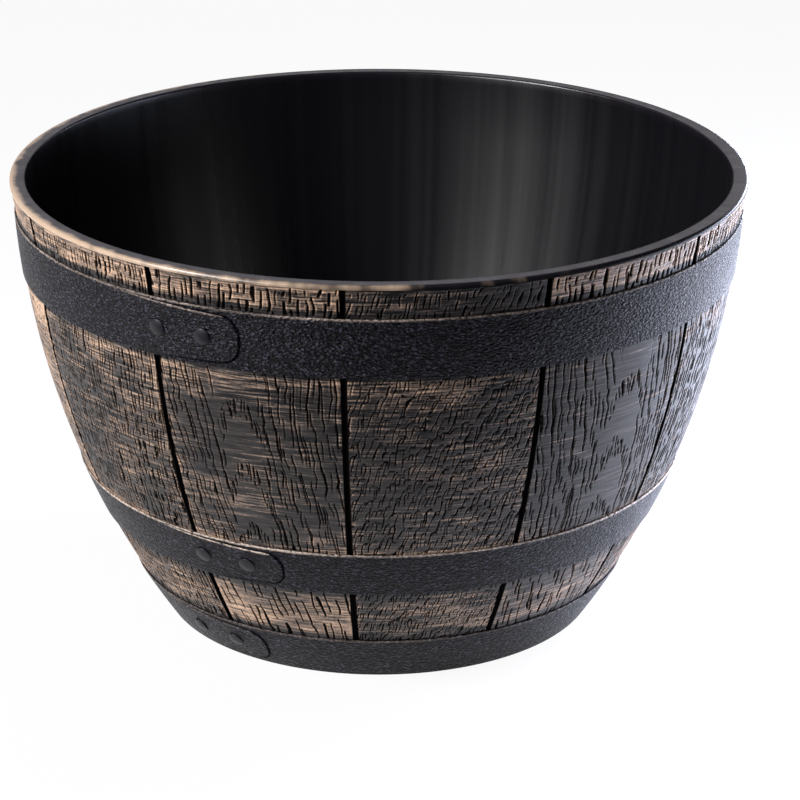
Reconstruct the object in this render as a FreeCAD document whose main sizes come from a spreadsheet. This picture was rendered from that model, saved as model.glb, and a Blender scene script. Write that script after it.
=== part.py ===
import FreeCAD, Part
import math
import os
from typing import NamedTuple

import Sketcher

# Half-barrel flower pot: a moulded liner holds the soil, twelve bowed staves stand round it under
# its lip, and three riveted hoops bind the staves. Z is up, the pot's axis is Z, and its front is -Y.

# Driving sizes in millimetres. An angle is in degrees from the front, towards +X.
SIZES = {
    "rim_diameter": 330,
    "base_diameter": 200,
    "pot_height": 205,
    "fit_gap": 0.1,
    "cut_overrun": 2,
    "stave_count": 12,
    "rim_flare": 0.9,
    "stave_bow": 15.25,
    "stave_thickness": 3,
    "stave_gap": 0.2,
    "groove_width": 2,
    "groove_depth": 1.6,
    "groove_angle": -4.6,
    "liner_wall": 2.2,
    "liner_floor": 3,
    "liner_corner_radius": 5,
    "lip_height": 1.8,
    "lip_overhang": 0.15,
    "lip_edge_radius": 1.4,
    "mouth_edge_radius": 0.9,
    "foot_recess": 4,
    "foot_width": 6,
    "drain_hole_diameter": 9,
    "drain_ring_diameter": 120,
    "drain_hole_count": 6,
    "hoop_thickness": 0.75,
    "hoop_edge_radius": 0.35,
    "top_hoop_drop": 14.9,
    "top_hoop_width": 26.5,
    "top_rivets_angle": -29.7,
    "middle_hoop_height": 63.8,
    "middle_hoop_width": 22.4,
    "middle_rivets_angle": -29.1,
    "base_hoop_width": 23.1,
    "base_rivets_angle": -41.7,
    "lap_start_rise": 0.15,
    "lap_tip_rise": 0.5,
    "lap_start_inset": 0.8,
    "lap_tip_inset": 2.9,
    "lap_corner_share": 0.42,
    "rivet_pitch": 22,
    "rivet_margin": 16.4,
    "rivet_head_diameter": 7.4,
    "rivet_head_height": 1.1,
    "rivet_head_brim": 0.35,
    "rivet_shank_diameter": 4,
    "rivet_hole_gap": 0.1,
}

# Forms worked out from the sizes. In the upright section every wall is an arc about one bend axis,
# so a bend is the radius of that arc: the hoops' outer face sets it, and the rest lie inside it.
FORMS = {
    "rim_radius": "Sizes.rim_diameter / 2",
    "outer_foot": "Sizes.base_diameter / 2",
    "outer_top": "Form.rim_radius - Sizes.rim_flare",
    "flare": "Form.outer_top - Form.outer_foot",
    "chord": "sqrt(Form.flare ^ 2 + Sizes.pot_height ^ 2)",
    "hoop_bend": "Form.chord ^ 2 / (8 * Sizes.stave_bow) + Sizes.stave_bow / 2",
    "bend_reach": "(Form.hoop_bend - Sizes.stave_bow) / Form.chord",
    "bend_axis_radius": "(Form.outer_foot + Form.outer_top) / 2 - Form.bend_reach * Sizes.pot_height",
    "bend_axis_height": "Sizes.pot_height / 2 + Form.bend_reach * Form.flare",
    "hoop_back_bend": "Form.hoop_bend - Sizes.hoop_thickness",
    "stave_bend": "Form.hoop_back_bend - Sizes.fit_gap",
    "groove_bend": "Form.stave_bend - Sizes.groove_depth",
    "stave_back_bend": "Form.stave_bend - Sizes.stave_thickness",
    "liner_bend": "Form.stave_back_bend - Sizes.fit_gap",
    "liner_inner_bend": "Form.liner_bend - Sizes.liner_wall",
    "lip_underside": "Sizes.pot_height - Sizes.lip_height",
    "flare_foot": "Sizes.pot_height - Sizes.top_hoop_drop",
    "flare_top": "Form.rim_radius - Sizes.lip_overhang",
    "floor_top": "Sizes.foot_recess + Sizes.liner_floor",
    "cut_reach": "Form.rim_radius + Sizes.cut_overrun",
    "cut_top": "Sizes.pot_height + Sizes.cut_overrun",
    "lap_length": "Sizes.rivet_pitch + 2 * Sizes.rivet_margin",
    "lap_lead": "Form.lap_length * Sizes.lap_start_rise / (Sizes.lap_tip_rise - Sizes.lap_start_rise)",
    "lap_back_bend": "Form.hoop_back_bend + (Sizes.hoop_thickness - Sizes.lap_tip_rise) / 2",
    "shank_radius": "Sizes.rivet_shank_diameter / 2",
    "head_radius": "Sizes.rivet_head_diameter / 2",
    "head_dome": "Sizes.rivet_head_height - Sizes.rivet_head_brim",
}

ZERO = "0"
WHOLE_TURN = "360"
DEGREES_PER_RADIAN = "(180 / pi)"
FRONT_TURN = "270"
ALONG_Z = FreeCAD.Vector(0, 0, 1)
ALONG_Y = FreeCAD.Vector(0, 1, 0)
ORIGIN = FreeCAD.Vector(0, 0, 0)

doc = FreeCAD.newDocument("flower_pot")
cuts = []


def make_sheet():
    """Put the driving sizes in a spreadsheet, and the forms that follow from them in a variable set."""
    sheet = doc.addObject("Spreadsheet::Sheet", "Sizes")
    for row, (name, value) in enumerate(SIZES.items(), 1):
        sheet.set(f"A{row}", name)
        sheet.set(f"B{row}", str(value))
        sheet.setAlias(f"B{row}", name)
    doc.recompute()
    form = doc.addObject("App::VarSet", "Form")
    for name, expression in FORMS.items():
        form.addProperty("App::PropertyFloat", name)
        form.setExpression(name, expression)
    doc.recompute()


def measure(owner, expression):
    """Return the number that an expression stands for."""
    result = owner.evalExpression(expression)
    return float(getattr(result, "Value", result))


def wall(bend, height):
    """Return the expression for the distance from the pot's axis of a wall, at a height."""
    return f"(Form.bend_axis_radius + sqrt(({bend}) ^ 2 - (Form.bend_axis_height - ({height})) ^ 2))"


def square_across(bend, height):
    """Return the height at which an edge square to the hoop's face, from a height on it, meets a bend."""
    return f"(Form.bend_axis_height + (({height}) - Form.bend_axis_height) * ({bend}) / Form.hoop_bend)"


def plane_of(body, role):
    """Return one of a body's own origin planes or axes."""
    return next(feature for feature in body.Origin.OriginFeatures if feature.Role == role)


def sketch_on(body, name, role):
    """Add a sketch to a body, on one of its origin planes."""
    sketch = body.newObject("Sketcher::SketchObject", name)
    sketch.AttachmentSupport = (plane_of(body, role), [""])
    sketch.MapMode = "FlatFace"
    return sketch


def bend_between(start, end, radius, turn):
    """Return the arc of under a half circle from start to end, counter-clockwise where turn is 1."""
    chord = end - start
    rise = math.sqrt(radius ** 2 - (chord.Length / 2) ** 2)
    left = FreeCAD.Vector(-chord.y, chord.x, 0).normalize()
    centre = (start + end) / 2 + left * rise * turn
    first, last = (start, end) if turn == 1 else (end, start)
    angles = [math.atan2(point.y - centre.y, point.x - centre.x) for point in (first, last)]
    return Part.ArcOfCircle(Part.Circle(centre, ALONG_Z, radius), *angles)


def place_corner(sketch, edge, end, axis, expression):
    """Hold one coordinate of a corner, on the axis itself where the expression is zero."""
    # a sketch counts its own upright axis as edge -2 and its level axis as edge -1
    kind, zero_axis = (("DistanceX", -2), ("DistanceY", -1))[axis]
    if expression == ZERO:
        sketch.addConstraint(Sketcher.Constraint("PointOnObject", edge, end, zero_axis))
        return
    number = sketch.addConstraint(Sketcher.Constraint(kind, edge, end, measure(sketch, expression)))
    sketch.setExpression(f"Constraints[{number}]", expression)


def draw_outline(sketch, corners, bends=None):
    """Draw a closed outline through corners given as expressions, and bind it to the sheet.

    A bend turns the edge that leaves its corner into an arc: its radius and its turn, 1 or -1.
    A corner in line with the one before it is held by a level or upright edge.
    """
    bends = bends or {}
    points = [FreeCAD.Vector(*(measure(sketch, text) for text in corner), 0) for corner in corners]
    ends = []
    for index, start in enumerate(points):
        end = points[(index + 1) % len(points)]
        radius, turn = bends.get(index, (None, 1))
        if radius is None:
            edge = sketch.addGeometry(Part.LineSegment(start, end))
        else:
            edge = sketch.addGeometry(bend_between(start, end, measure(sketch, radius), turn))
        ends.append((edge, 1, 2) if turn == 1 else (edge, 2, 1))
    for index, corner in enumerate(corners):
        edge, start, _ = ends[index]
        before, _, before_end = ends[index - 1]
        sketch.addConstraint(Sketcher.Constraint("Coincident", before, before_end, edge, start))
        straight = index > 0 and index - 1 not in bends
        for axis, level in ((0, "Vertical"), (1, "Horizontal")):
            if straight and corner[axis] == corners[index - 1][axis] and corner[axis] != ZERO:
                sketch.addConstraint(Sketcher.Constraint(level, before))
            else:
                place_corner(sketch, edge, start, axis, corner[axis])
    for index, (radius, _) in bends.items():
        edge = ends[index][0]
        number = sketch.addConstraint(Sketcher.Constraint("Radius", edge, measure(sketch, radius)))
        sketch.setExpression(f"Constraints[{number}]", radius)


def revolve(body, sketch, name, axis="V_Axis", angle=WHOLE_TURN, both_ways=False):
    """Turn a sketch about one of its own axes."""
    feature = body.newObject("PartDesign::Revolution", name)
    feature.Profile = sketch
    feature.ReferenceAxis = (sketch, [axis])
    feature.Midplane = both_ways
    feature.setExpression("Angle", angle)
    return feature


def cut_pocket(body, sketch, name, width=None):
    """Cut a sketch through the body: all the way up, or by a width shared to both sides of the sketch."""
    pocket = body.newObject("PartDesign::Pocket", name)
    pocket.Profile = sketch
    if width is None:
        pocket.Type = "ThroughAll"
        pocket.Reversed = True
    else:
        pocket.SideType = "Symmetric"
        pocket.setExpression("Length", width)
    cuts.append(pocket)
    return pocket


def round_rings(body, feature, name, rings, radius):
    """Round the circular edges of a turned feature that lie nearest the given section corners."""
    doc.recompute()
    circles = [
        (number, edge.Curve)
        for number, edge in enumerate(feature.Shape.Edges, 1)
        if isinstance(edge.Curve, Part.Circle)
    ]
    names = []
    for ring in rings:
        reach, height = (measure(feature, text) for text in ring)
        nearest = min(circles, key=lambda item: math.hypot(item[1].Radius - reach, item[1].Center.z - height))
        names.append(f"Edge{nearest[0]}")
    fillet = body.newObject("PartDesign::Fillet", name)
    fillet.Base = (feature, names)
    fillet.setExpression("Radius", radius)
    return fillet


def turn_about_axis(piece, turn):
    """Turn a finished piece about the pot's axis."""
    piece.Placement = FreeCAD.Placement(ORIGIN, FreeCAD.Rotation(ALONG_Z, measure(piece, turn)))
    piece.setExpression("Placement.Rotation.Angle", turn)


def make_liner():
    """Make the moulded inner pot: bowed wall, flat lip, recessed floor on a foot ring, drain holes."""
    body = doc.addObject("PartDesign::Body", "liner_pot")
    section = sketch_on(body, "liner_section", "XZ_Plane")
    foot_outer = wall("Form.liner_bend", ZERO)
    foot_inner = f"({foot_outer} - Sizes.foot_width)"
    lip_inner = wall("Form.liner_inner_bend", "Sizes.pot_height")
    floor_edge = wall("Form.liner_inner_bend", "Form.floor_top")
    corners = [
        (foot_outer, ZERO),
        (wall("Form.liner_bend", "Form.lip_underside"), "Form.lip_underside"),
        ("Form.rim_radius", "Form.lip_underside"),
        ("Form.rim_radius", "Sizes.pot_height"),
        (lip_inner, "Sizes.pot_height"),
        (floor_edge, "Form.floor_top"),
        (ZERO, "Form.floor_top"),
        (ZERO, "Sizes.foot_recess"),
        (foot_inner, "Sizes.foot_recess"),
        (foot_inner, ZERO),
    ]
    draw_outline(section, corners, {0: ("Form.liner_bend", 1), 4: ("Form.liner_inner_bend", -1)})
    turned = revolve(body, section, "liner_turned")
    lip = round_rings(body, turned, "lip_edge", [("Form.rim_radius", "Sizes.pot_height")], "Sizes.lip_edge_radius")
    mouth = round_rings(body, lip, "mouth_edge", [(lip_inner, "Sizes.pot_height")], "Sizes.mouth_edge_radius")
    round_rings(body, mouth, "floor_corner", [(floor_edge, "Form.floor_top")], "Sizes.liner_corner_radius")
    middle = sketch_on(body, "middle_drain_sketch", "XY_Plane")
    draw_circle(middle, ZERO, "Sizes.drain_hole_diameter / 2")
    cut_pocket(body, middle, "middle_drain")
    beside = sketch_on(body, "ring_drain_sketch", "XY_Plane")
    draw_circle(beside, "Sizes.drain_ring_diameter / 2", "Sizes.drain_hole_diameter / 2")
    hole = cut_pocket(body, beside, "ring_drain")
    doc.recompute()
    ring = body.newObject("PartDesign::PolarPattern", "ring_drains")
    ring.Originals = [hole]
    ring.Axis = (plane_of(body, "Z_Axis"), [""])
    ring.setExpression("Angle", WHOLE_TURN)
    ring.setExpression("Occurrences", "Sizes.drain_hole_count")
    body.Tip = ring
    return body


def draw_circle(sketch, across, radius):
    """Draw a circle on the sketch's level axis, at a distance from its origin."""
    centre = FreeCAD.Vector(measure(sketch, across), 0, 0)
    circle = sketch.addGeometry(Part.Circle(centre, ALONG_Z, measure(sketch, radius)))
    number = sketch.addConstraint(Sketcher.Constraint("Radius", circle, measure(sketch, radius)))
    sketch.setExpression(f"Constraints[{number}]", radius)
    place_corner(sketch, circle, 3, 0, across)
    place_corner(sketch, circle, 3, 1, ZERO)


def joint_sketch(body, name):
    """Add a sketch on the upright plane, through the pot's axis, between a stave and the next."""
    sketch = sketch_on(body, name, "XZ_Plane")
    half_stave = "180 / Sizes.stave_count"
    turn = FreeCAD.Rotation(ALONG_Y, measure(sketch, half_stave))
    sketch.AttachmentOffset = FreeCAD.Placement(ORIGIN, turn)
    sketch.setExpression("AttachmentOffset.Rotation.Angle", half_stave)
    return sketch


def make_stave(number):
    """Make one bowed stave, flared out to the lip above the top hoop.

    Its back meets its neighbours, and its face stops short of them to leave a groove.
    """
    body = doc.addObject("PartDesign::Body", f"stave_{number:02d}")
    section = sketch_on(body, "stave_section", "XZ_Plane")
    corners = [
        (wall("Form.stave_bend", ZERO), ZERO),
        (wall("Form.stave_bend", "Form.flare_foot"), "Form.flare_foot"),
        ("Form.flare_top", "Form.lip_underside"),
        (wall("Form.stave_back_bend", "Form.lip_underside"), "Form.lip_underside"),
        (wall("Form.stave_back_bend", ZERO), ZERO),
    ]
    draw_outline(section, corners, {0: ("Form.stave_bend", 1), 3: ("Form.stave_back_bend", -1)})
    revolve(body, section, "stave_turned", angle="360 / Sizes.stave_count", both_ways=True)
    joint = joint_sketch(body, "joint_sketch")
    below = "-Sizes.cut_overrun"
    draw_outline(joint, [(ZERO, below), ("Form.cut_reach", below), ("Form.cut_reach", "Form.cut_top"),
                         (ZERO, "Form.cut_top")])
    joint_cut = cut_pocket(body, joint, "joint_cut", "Sizes.stave_gap")
    groove = joint_sketch(body, "groove_sketch")
    corners = [
        (wall("Form.groove_bend", below), below),
        ("Form.cut_reach", below),
        ("Form.cut_reach", "Form.cut_top"),
        (wall("Form.groove_bend", "Form.cut_top"), "Form.cut_top"),
    ]
    draw_outline(groove, corners, {3: ("Form.groove_bend", -1)})
    groove_cut = cut_pocket(body, groove, "groove_cut", "Sizes.groove_width")
    doc.recompute()
    other_side = body.newObject("PartDesign::Mirrored", "other_side")
    other_side.Originals = [joint_cut, groove_cut]
    other_side.MirrorPlane = (plane_of(body, "XZ_Plane"), [""])
    body.Tip = other_side
    turn_about_axis(body, f"{FRONT_TURN} + Sizes.groove_angle + {2 * number - 1} * 180 / Sizes.stave_count")
    return body


class Hoop(NamedTuple):
    """One hoop: its name, the heights of its outer edges, where its rivets are, and how it meets the floor."""

    name: str
    low: str
    high: str
    rivets_turn: str
    flat_foot: bool

    @property
    def middle(self):
        """The height of the rivets, half way up the hoop."""
        return f"(({self.low}) + ({self.high})) / 2"

    @property
    def middle_radius(self):
        """The distance of the hoop's face from the pot's axis, at the rivets."""
        return wall("Form.hoop_bend", self.middle)

    def turn_for(self, length):
        """The turn, in degrees, that a length along the hoop's face takes up."""
        return f"({DEGREES_PER_RADIAN} * ({length}) / {self.middle_radius})"

    @property
    def lap_turn(self):
        """The turn, in degrees, to the lap's middle from where its face would run out of the ring's."""
        return self.turn_for("Form.lap_lead + Form.lap_length / 2")

    @property
    def lap_shift(self):
        """How far the lap's axis lies off the pot's axis, so that the lap rises evenly to its tip."""
        return f"(Sizes.lap_tip_rise / sin({self.turn_for('Form.lap_lead + Form.lap_length')}))"

    @property
    def lean(self):
        """The angle, in degrees, by which the hoop's face looks down at the rivets."""
        return f"asin((Form.bend_axis_height - {self.middle}) / Form.hoop_bend)"

    @property
    def place_turn(self):
        """The turn that brings the lap's middle from +X to its place on the pot."""
        return f"{FRONT_TURN} + {self.rivets_turn}"


HOOPS = [
    Hoop("top_hoop", "Sizes.pot_height - Sizes.top_hoop_drop - Sizes.top_hoop_width",
         "Sizes.pot_height - Sizes.top_hoop_drop", "Sizes.top_rivets_angle", False),
    Hoop("middle_hoop", "Sizes.middle_hoop_height - Sizes.middle_hoop_width / 2",
         "Sizes.middle_hoop_height + Sizes.middle_hoop_width / 2", "Sizes.middle_rivets_angle", False),
    Hoop("base_hoop", ZERO, "Sizes.base_hoop_width", "Sizes.base_rivets_angle", True),
]


def hoop_section(hoop, back_bend):
    """Return the corners of a hoop's strip: edges square to its face, or flat where it stands on the floor."""
    low_back = ZERO if hoop.flat_foot else square_across(back_bend, hoop.low)
    high_back = square_across(back_bend, hoop.high)
    return [
        (wall("Form.hoop_bend", hoop.low), hoop.low),
        (wall("Form.hoop_bend", hoop.high), hoop.high),
        (wall(back_bend, high_back), high_back),
        (wall(back_bend, low_back), low_back),
    ]


def make_ring(hoop):
    """Make the closed ring of a hoop, with its outer edges rounded."""
    body = doc.addObject("PartDesign::Body", f"{hoop.name}_ring")
    section = sketch_on(body, "ring_section", "XZ_Plane")
    corners = hoop_section(hoop, "Form.hoop_back_bend")
    draw_outline(section, corners, {0: ("Form.hoop_bend", 1), 2: ("Form.hoop_back_bend", -1)})
    turned = revolve(body, section, "ring_turned")
    round_rings(body, turned, "ring_edges", corners[:2], "Sizes.hoop_edge_radius")
    return body


def make_lap(hoop):
    """Make the strip end that laps over the ring, rising and narrowing to a rounded tip."""
    shell = doc.addObject("PartDesign::Body", f"{hoop.name}_lap_shell")
    section = sketch_on(shell, "lap_section", "XZ_Plane")
    corners = hoop_section(hoop, "Form.lap_back_bend")
    draw_outline(section, corners, {0: ("Form.hoop_bend", 1), 2: ("Form.lap_back_bend", -1)})
    revolve(shell, section, "lap_turned", angle="180", both_ways=True)
    shell.setExpression("Placement.Base.x", f"{hoop.lap_shift} * sin({hoop.lap_turn})")
    shell.setExpression("Placement.Base.y", f"{hoop.lap_shift} * cos({hoop.lap_turn})")
    outline = doc.addObject("PartDesign::Body", f"{hoop.name}_lap_outline")
    sketch = sketch_on(outline, "lap_sketch", "YZ_Plane")
    low = f"({hoop.low} + Sizes.lap_tip_inset)"
    high = f"({hoop.high} - Sizes.lap_tip_inset)"
    corner = f"(Sizes.lap_corner_share * ({high} - {low}))"
    tip = f"({hoop.middle_radius} * sin({hoop.turn_for('Form.lap_length / 2')}))"
    corners = [
        (f"-{tip}", f"{hoop.low} + Sizes.lap_start_inset"),
        (f"{tip} - {corner}", low),
        (tip, f"{low} + {corner}"),
        (tip, f"{high} - {corner}"),
        (f"{tip} - {corner}", high),
        (f"-{tip}", f"{hoop.high} - Sizes.lap_start_inset"),
    ]
    draw_outline(sketch, corners, {1: (corner, 1), 3: (corner, 1)})
    pad = outline.newObject("PartDesign::Pad", "lap_pad")
    pad.Profile = sketch
    pad.setExpression("Length", "Form.cut_reach")
    lap = doc.addObject("Part::Common", f"{hoop.name}_lap")
    lap.Base = shell
    lap.Tool = outline
    return lap


def rivet_sketch(body, hoop, name):
    """Add a sketch whose level axis runs from the bend axis out through the hoop, square to its face."""
    sketch = sketch_on(body, name, "XZ_Plane")
    lean = FreeCAD.Rotation(-ALONG_Z, measure(sketch, hoop.lean))
    sketch.AttachmentOffset = FreeCAD.Placement(ORIGIN, lean)
    sketch.setExpression("AttachmentOffset.Rotation.Angle", hoop.lean)
    sketch.setExpression("AttachmentOffset.Base.x", "Form.bend_axis_radius")
    sketch.setExpression("AttachmentOffset.Base.y", "Form.bend_axis_height")
    return sketch


def make_hole(hoop, number, turn):
    """Make the round cut for one rivet's shank."""
    body = doc.addObject("PartDesign::Body", f"{hoop.name}_hole_{number}")
    sketch = rivet_sketch(body, hoop, "hole_sketch")
    inner = "(Form.hoop_back_bend - Sizes.cut_overrun)"
    outer = "(Form.hoop_bend + Sizes.lap_tip_rise + Sizes.cut_overrun)"
    radius = "(Form.shank_radius + Sizes.rivet_hole_gap)"
    draw_outline(sketch, [(inner, ZERO), (outer, ZERO), (outer, radius), (inner, radius)])
    revolve(body, sketch, "hole_turned", axis="H_Axis")
    turn_about_axis(body, turn)
    return body


def make_rivet(hoop, number, turn):
    """Make one rivet: a low domed head on the lap, and a shank through lap and ring."""
    body = doc.addObject("PartDesign::Body", f"{hoop.name}_rivet_{number}")
    sketch = rivet_sketch(body, hoop, "rivet_section")
    seat = f"(Form.hoop_bend + {hoop.lap_shift} * sin({turn} + {hoop.lap_turn}) * cos({hoop.lean}))"
    brim = f"({seat} + Sizes.rivet_head_brim)"
    crown = f"({seat} + Sizes.rivet_head_height)"
    corners = [
        ("Form.hoop_back_bend", ZERO),
        (crown, ZERO),
        (brim, "Form.head_radius"),
        (seat, "Form.head_radius"),
        (seat, "Form.shank_radius"),
        ("Form.hoop_back_bend", "Form.shank_radius"),
    ]
    dome = "((Form.head_radius ^ 2 + Form.head_dome ^ 2) / (2 * Form.head_dome))"
    draw_outline(sketch, corners, {1: (dome, 1)})
    revolve(body, sketch, "rivet_turned", axis="H_Axis")
    turn_about_axis(body, turn)
    return body


def make_hoop(hoop):
    """Make a hoop with its riveted lap, and the pair of rivets as a node of their own."""
    half_pitch = hoop.turn_for("Sizes.rivet_pitch / 2")
    turns = [f"({WHOLE_TURN} - {half_pitch})", half_pitch]
    joined = doc.addObject("Part::Fuse", f"{hoop.name}_joined")
    joined.Base = make_ring(hoop)
    joined.Tool = make_lap(hoop)
    holes = doc.addObject("Part::Compound", f"{hoop.name}_holes")
    holes.Links = [make_hole(hoop, number, turn) for number, turn in enumerate(turns, 1)]
    strip = doc.addObject("Part::Cut", hoop.name)
    strip.Base = joined
    strip.Tool = holes
    rivets = doc.addObject("Part::Compound", f"{hoop.name}_rivets")
    rivets.Links = [make_rivet(hoop, number, turn) for number, turn in enumerate(turns, 1)]
    for piece in (strip, rivets):
        turn_about_axis(piece, hoop.place_turn)
    return [strip, rivets]


def check(pieces):
    """Stop if an object failed, a cut removed nothing, or a piece has no sound solid."""
    for item in doc.Objects:
        if "Invalid" in item.State or "Error" in item.State:
            raise RuntimeError(f"{item.Name} failed: {item.State}")
    for cut in cuts:
        if cut.Shape.Volume >= cut.BaseFeature.Shape.Volume:
            raise RuntimeError(f"{cut.Name} of {cut.getParentGeoFeatureGroup().Label} removed nothing")
    for piece in pieces:
        if piece.Shape.isNull() or not piece.Shape.isValid() or not piece.Shape.Solids:
            raise RuntimeError(f"{piece.Label} has no sound solid")


def main():
    """Build every piece, check it and write it to its own file."""
    make_sheet()
    pieces = [make_liner()]
    pieces += [make_stave(number) for number in range(1, SIZES["stave_count"] + 1)]
    for hoop in HOOPS:
        pieces += make_hoop(hoop)
    doc.recompute()
    check(pieces)
    os.makedirs("parts", exist_ok=True)
    for piece in pieces:
        piece.Shape.exportStep(f"parts/{piece.Label}.step")
        print(piece.Label, len(piece.Shape.Solids), "solids", round(piece.Shape.Volume), "mm3")


main()
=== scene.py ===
"""Dress the half-barrel flower pot: grained staves, pebbled hoops, rivets and the smooth inner pot."""
import logging
import math
from dataclasses import dataclass, field
from enum import Enum

import bmesh
import bpy
import numpy as np
from mathutils import Matrix, Vector


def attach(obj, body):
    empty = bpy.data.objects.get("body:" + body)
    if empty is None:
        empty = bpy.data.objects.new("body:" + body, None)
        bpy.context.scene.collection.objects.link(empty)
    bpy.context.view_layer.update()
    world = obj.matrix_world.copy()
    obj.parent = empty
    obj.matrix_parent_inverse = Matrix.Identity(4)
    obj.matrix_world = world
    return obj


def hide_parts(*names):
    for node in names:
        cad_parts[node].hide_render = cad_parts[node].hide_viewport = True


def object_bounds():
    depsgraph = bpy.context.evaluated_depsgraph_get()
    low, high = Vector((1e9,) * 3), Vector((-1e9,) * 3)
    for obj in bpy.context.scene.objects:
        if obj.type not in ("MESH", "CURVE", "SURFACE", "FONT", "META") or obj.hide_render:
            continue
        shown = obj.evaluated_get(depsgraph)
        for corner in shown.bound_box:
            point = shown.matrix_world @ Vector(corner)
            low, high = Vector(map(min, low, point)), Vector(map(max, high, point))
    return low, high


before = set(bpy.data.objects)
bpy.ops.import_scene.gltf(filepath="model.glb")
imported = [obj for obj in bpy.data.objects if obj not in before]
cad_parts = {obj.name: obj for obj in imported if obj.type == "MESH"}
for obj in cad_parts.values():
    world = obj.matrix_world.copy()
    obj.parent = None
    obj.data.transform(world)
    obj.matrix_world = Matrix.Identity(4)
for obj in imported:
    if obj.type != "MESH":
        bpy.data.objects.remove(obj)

# The CAD's box, read before anything is built; the wall takes the rim's radius and the pot's height from it.
CAD_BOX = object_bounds()
# Pieces are worked out in millimetres and scaled to metres as their meshes are made.
MM = 0.001
# The pot's front faces -Y, and angles run from +X.
FRONT = math.radians(-90.0)
SEED = 20260
log = logging.getLogger("flower_pot")


def linear(hex_colour: str) -> tuple[float, float, float, float]:
    """Turn an sRGB hex colour into the linear colour that a shader takes.

    Args:
        hex_colour: six hex digits after a hash.

    Returns:
        Linear red, green and blue, and an alpha of one.
    """
    parts = [int(hex_colour[i:i + 2], 16) / 255.0 for i in (1, 3, 5)]
    levels = [p / 12.92 if p <= 0.04045 else ((p + 0.055) / 1.055) ** 2.4 for p in parts]
    return (levels[0], levels[1], levels[2], 1.0)


def add_node(tree: bpy.types.NodeTree, kind: str, inputs: dict[str | int, object] | None = None,
             **settings: object) -> bpy.types.Node:
    """Add one shader node with its settings and links.

    Args:
        tree: node tree that takes the node.
        kind: Blender's name for the node.
        inputs: values for sockets, by name or number; a socket given as a value is linked.
        settings: properties of the node itself.

    Returns:
        The new node.
    """
    node = tree.nodes.new(kind)
    for name, value in settings.items():
        setattr(node, name, value)
    for name, value in (inputs or {}).items():
        if isinstance(value, bpy.types.NodeSocket):
            tree.links.new(value, node.inputs[name])
        else:
            node.inputs[name].default_value = value
    return node


def new_material(name: str) -> tuple[bpy.types.Material, bpy.types.NodeTree]:
    """Make an empty node material.

    Args:
        name: name of the material.

    Returns:
        The material and its node tree.
    """
    material = bpy.data.materials.new(name)
    material.use_nodes = True
    material.node_tree.nodes.clear()
    return material, material.node_tree


def smooth_step(low: float, high: float, value: np.ndarray) -> np.ndarray:
    """Return 0 up to low, 1 from high and a smooth rise between; a low above high gives a fall."""
    share = np.clip((value - low) / (high - low), 0.0, 1.0)
    return share * share * (3.0 - 2.0 * share)


def edge_fall(radius: float, inset: np.ndarray) -> np.ndarray:
    """Return how far a rounded edge falls back from its face, by distance in from the edge."""
    left = radius - np.clip(inset, 0.0, radius)
    return radius - np.sqrt(radius ** 2 - left ** 2)


def even_turns(count: int) -> np.ndarray:
    """Return evenly spaced angles round a whole turn."""
    return np.linspace(0.0, math.tau, count, endpoint=False)


def arc_points(centre: tuple[float, float], radius: float, start: float, end: float,
               count: int) -> list[tuple[float, float]]:
    """Return points along an arc in the upright section.

    Args:
        centre: radius and height of the arc's centre.
        radius: radius of the arc.
        start: angle of the first point, from straight out.
        end: angle of the last point.
        count: number of points.

    Returns:
        Radius and height of each point.
    """
    out, up = centre
    return [(out + radius * math.cos(turn), up + radius * math.sin(turn))
            for turn in np.linspace(start, end, count)]


@dataclass(frozen=True)
class SoftField:
    """A smooth seeded field over a plane, between 0 and 1, used for uneven surfaces and paint."""

    seed: int
    cell_across: float
    cell_along: float
    lattice: int = 64

    def at(self, across: np.ndarray, along: np.ndarray) -> np.ndarray:
        """Read the field.

        Args:
            across: places across the piece, in millimetres.
            along: places along the piece, in millimetres.

        Returns:
            The field's value at each place.
        """
        table = np.random.default_rng(self.seed).random((self.lattice, self.lattice))
        x, y = np.broadcast_arrays(across / self.cell_across, along / self.cell_along)
        column, row = np.floor(x).astype(int), np.floor(y).astype(int)
        fx, fy = smooth_step(0.0, 1.0, x - column), smooth_step(0.0, 1.0, y - row)
        left, right = column % self.lattice, (column + 1) % self.lattice
        low, high = row % self.lattice, (row + 1) % self.lattice
        lower = table[low, left] * (1 - fx) + table[low, right] * fx
        upper = table[high, left] * (1 - fx) + table[high, right] * fx
        return lower * (1 - fy) + upper * fy

    def swing(self, across: np.ndarray, along: np.ndarray) -> np.ndarray:
        """Return the field about its middle, from -0.5 to 0.5."""
        return self.at(across, along) - 0.5


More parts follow.
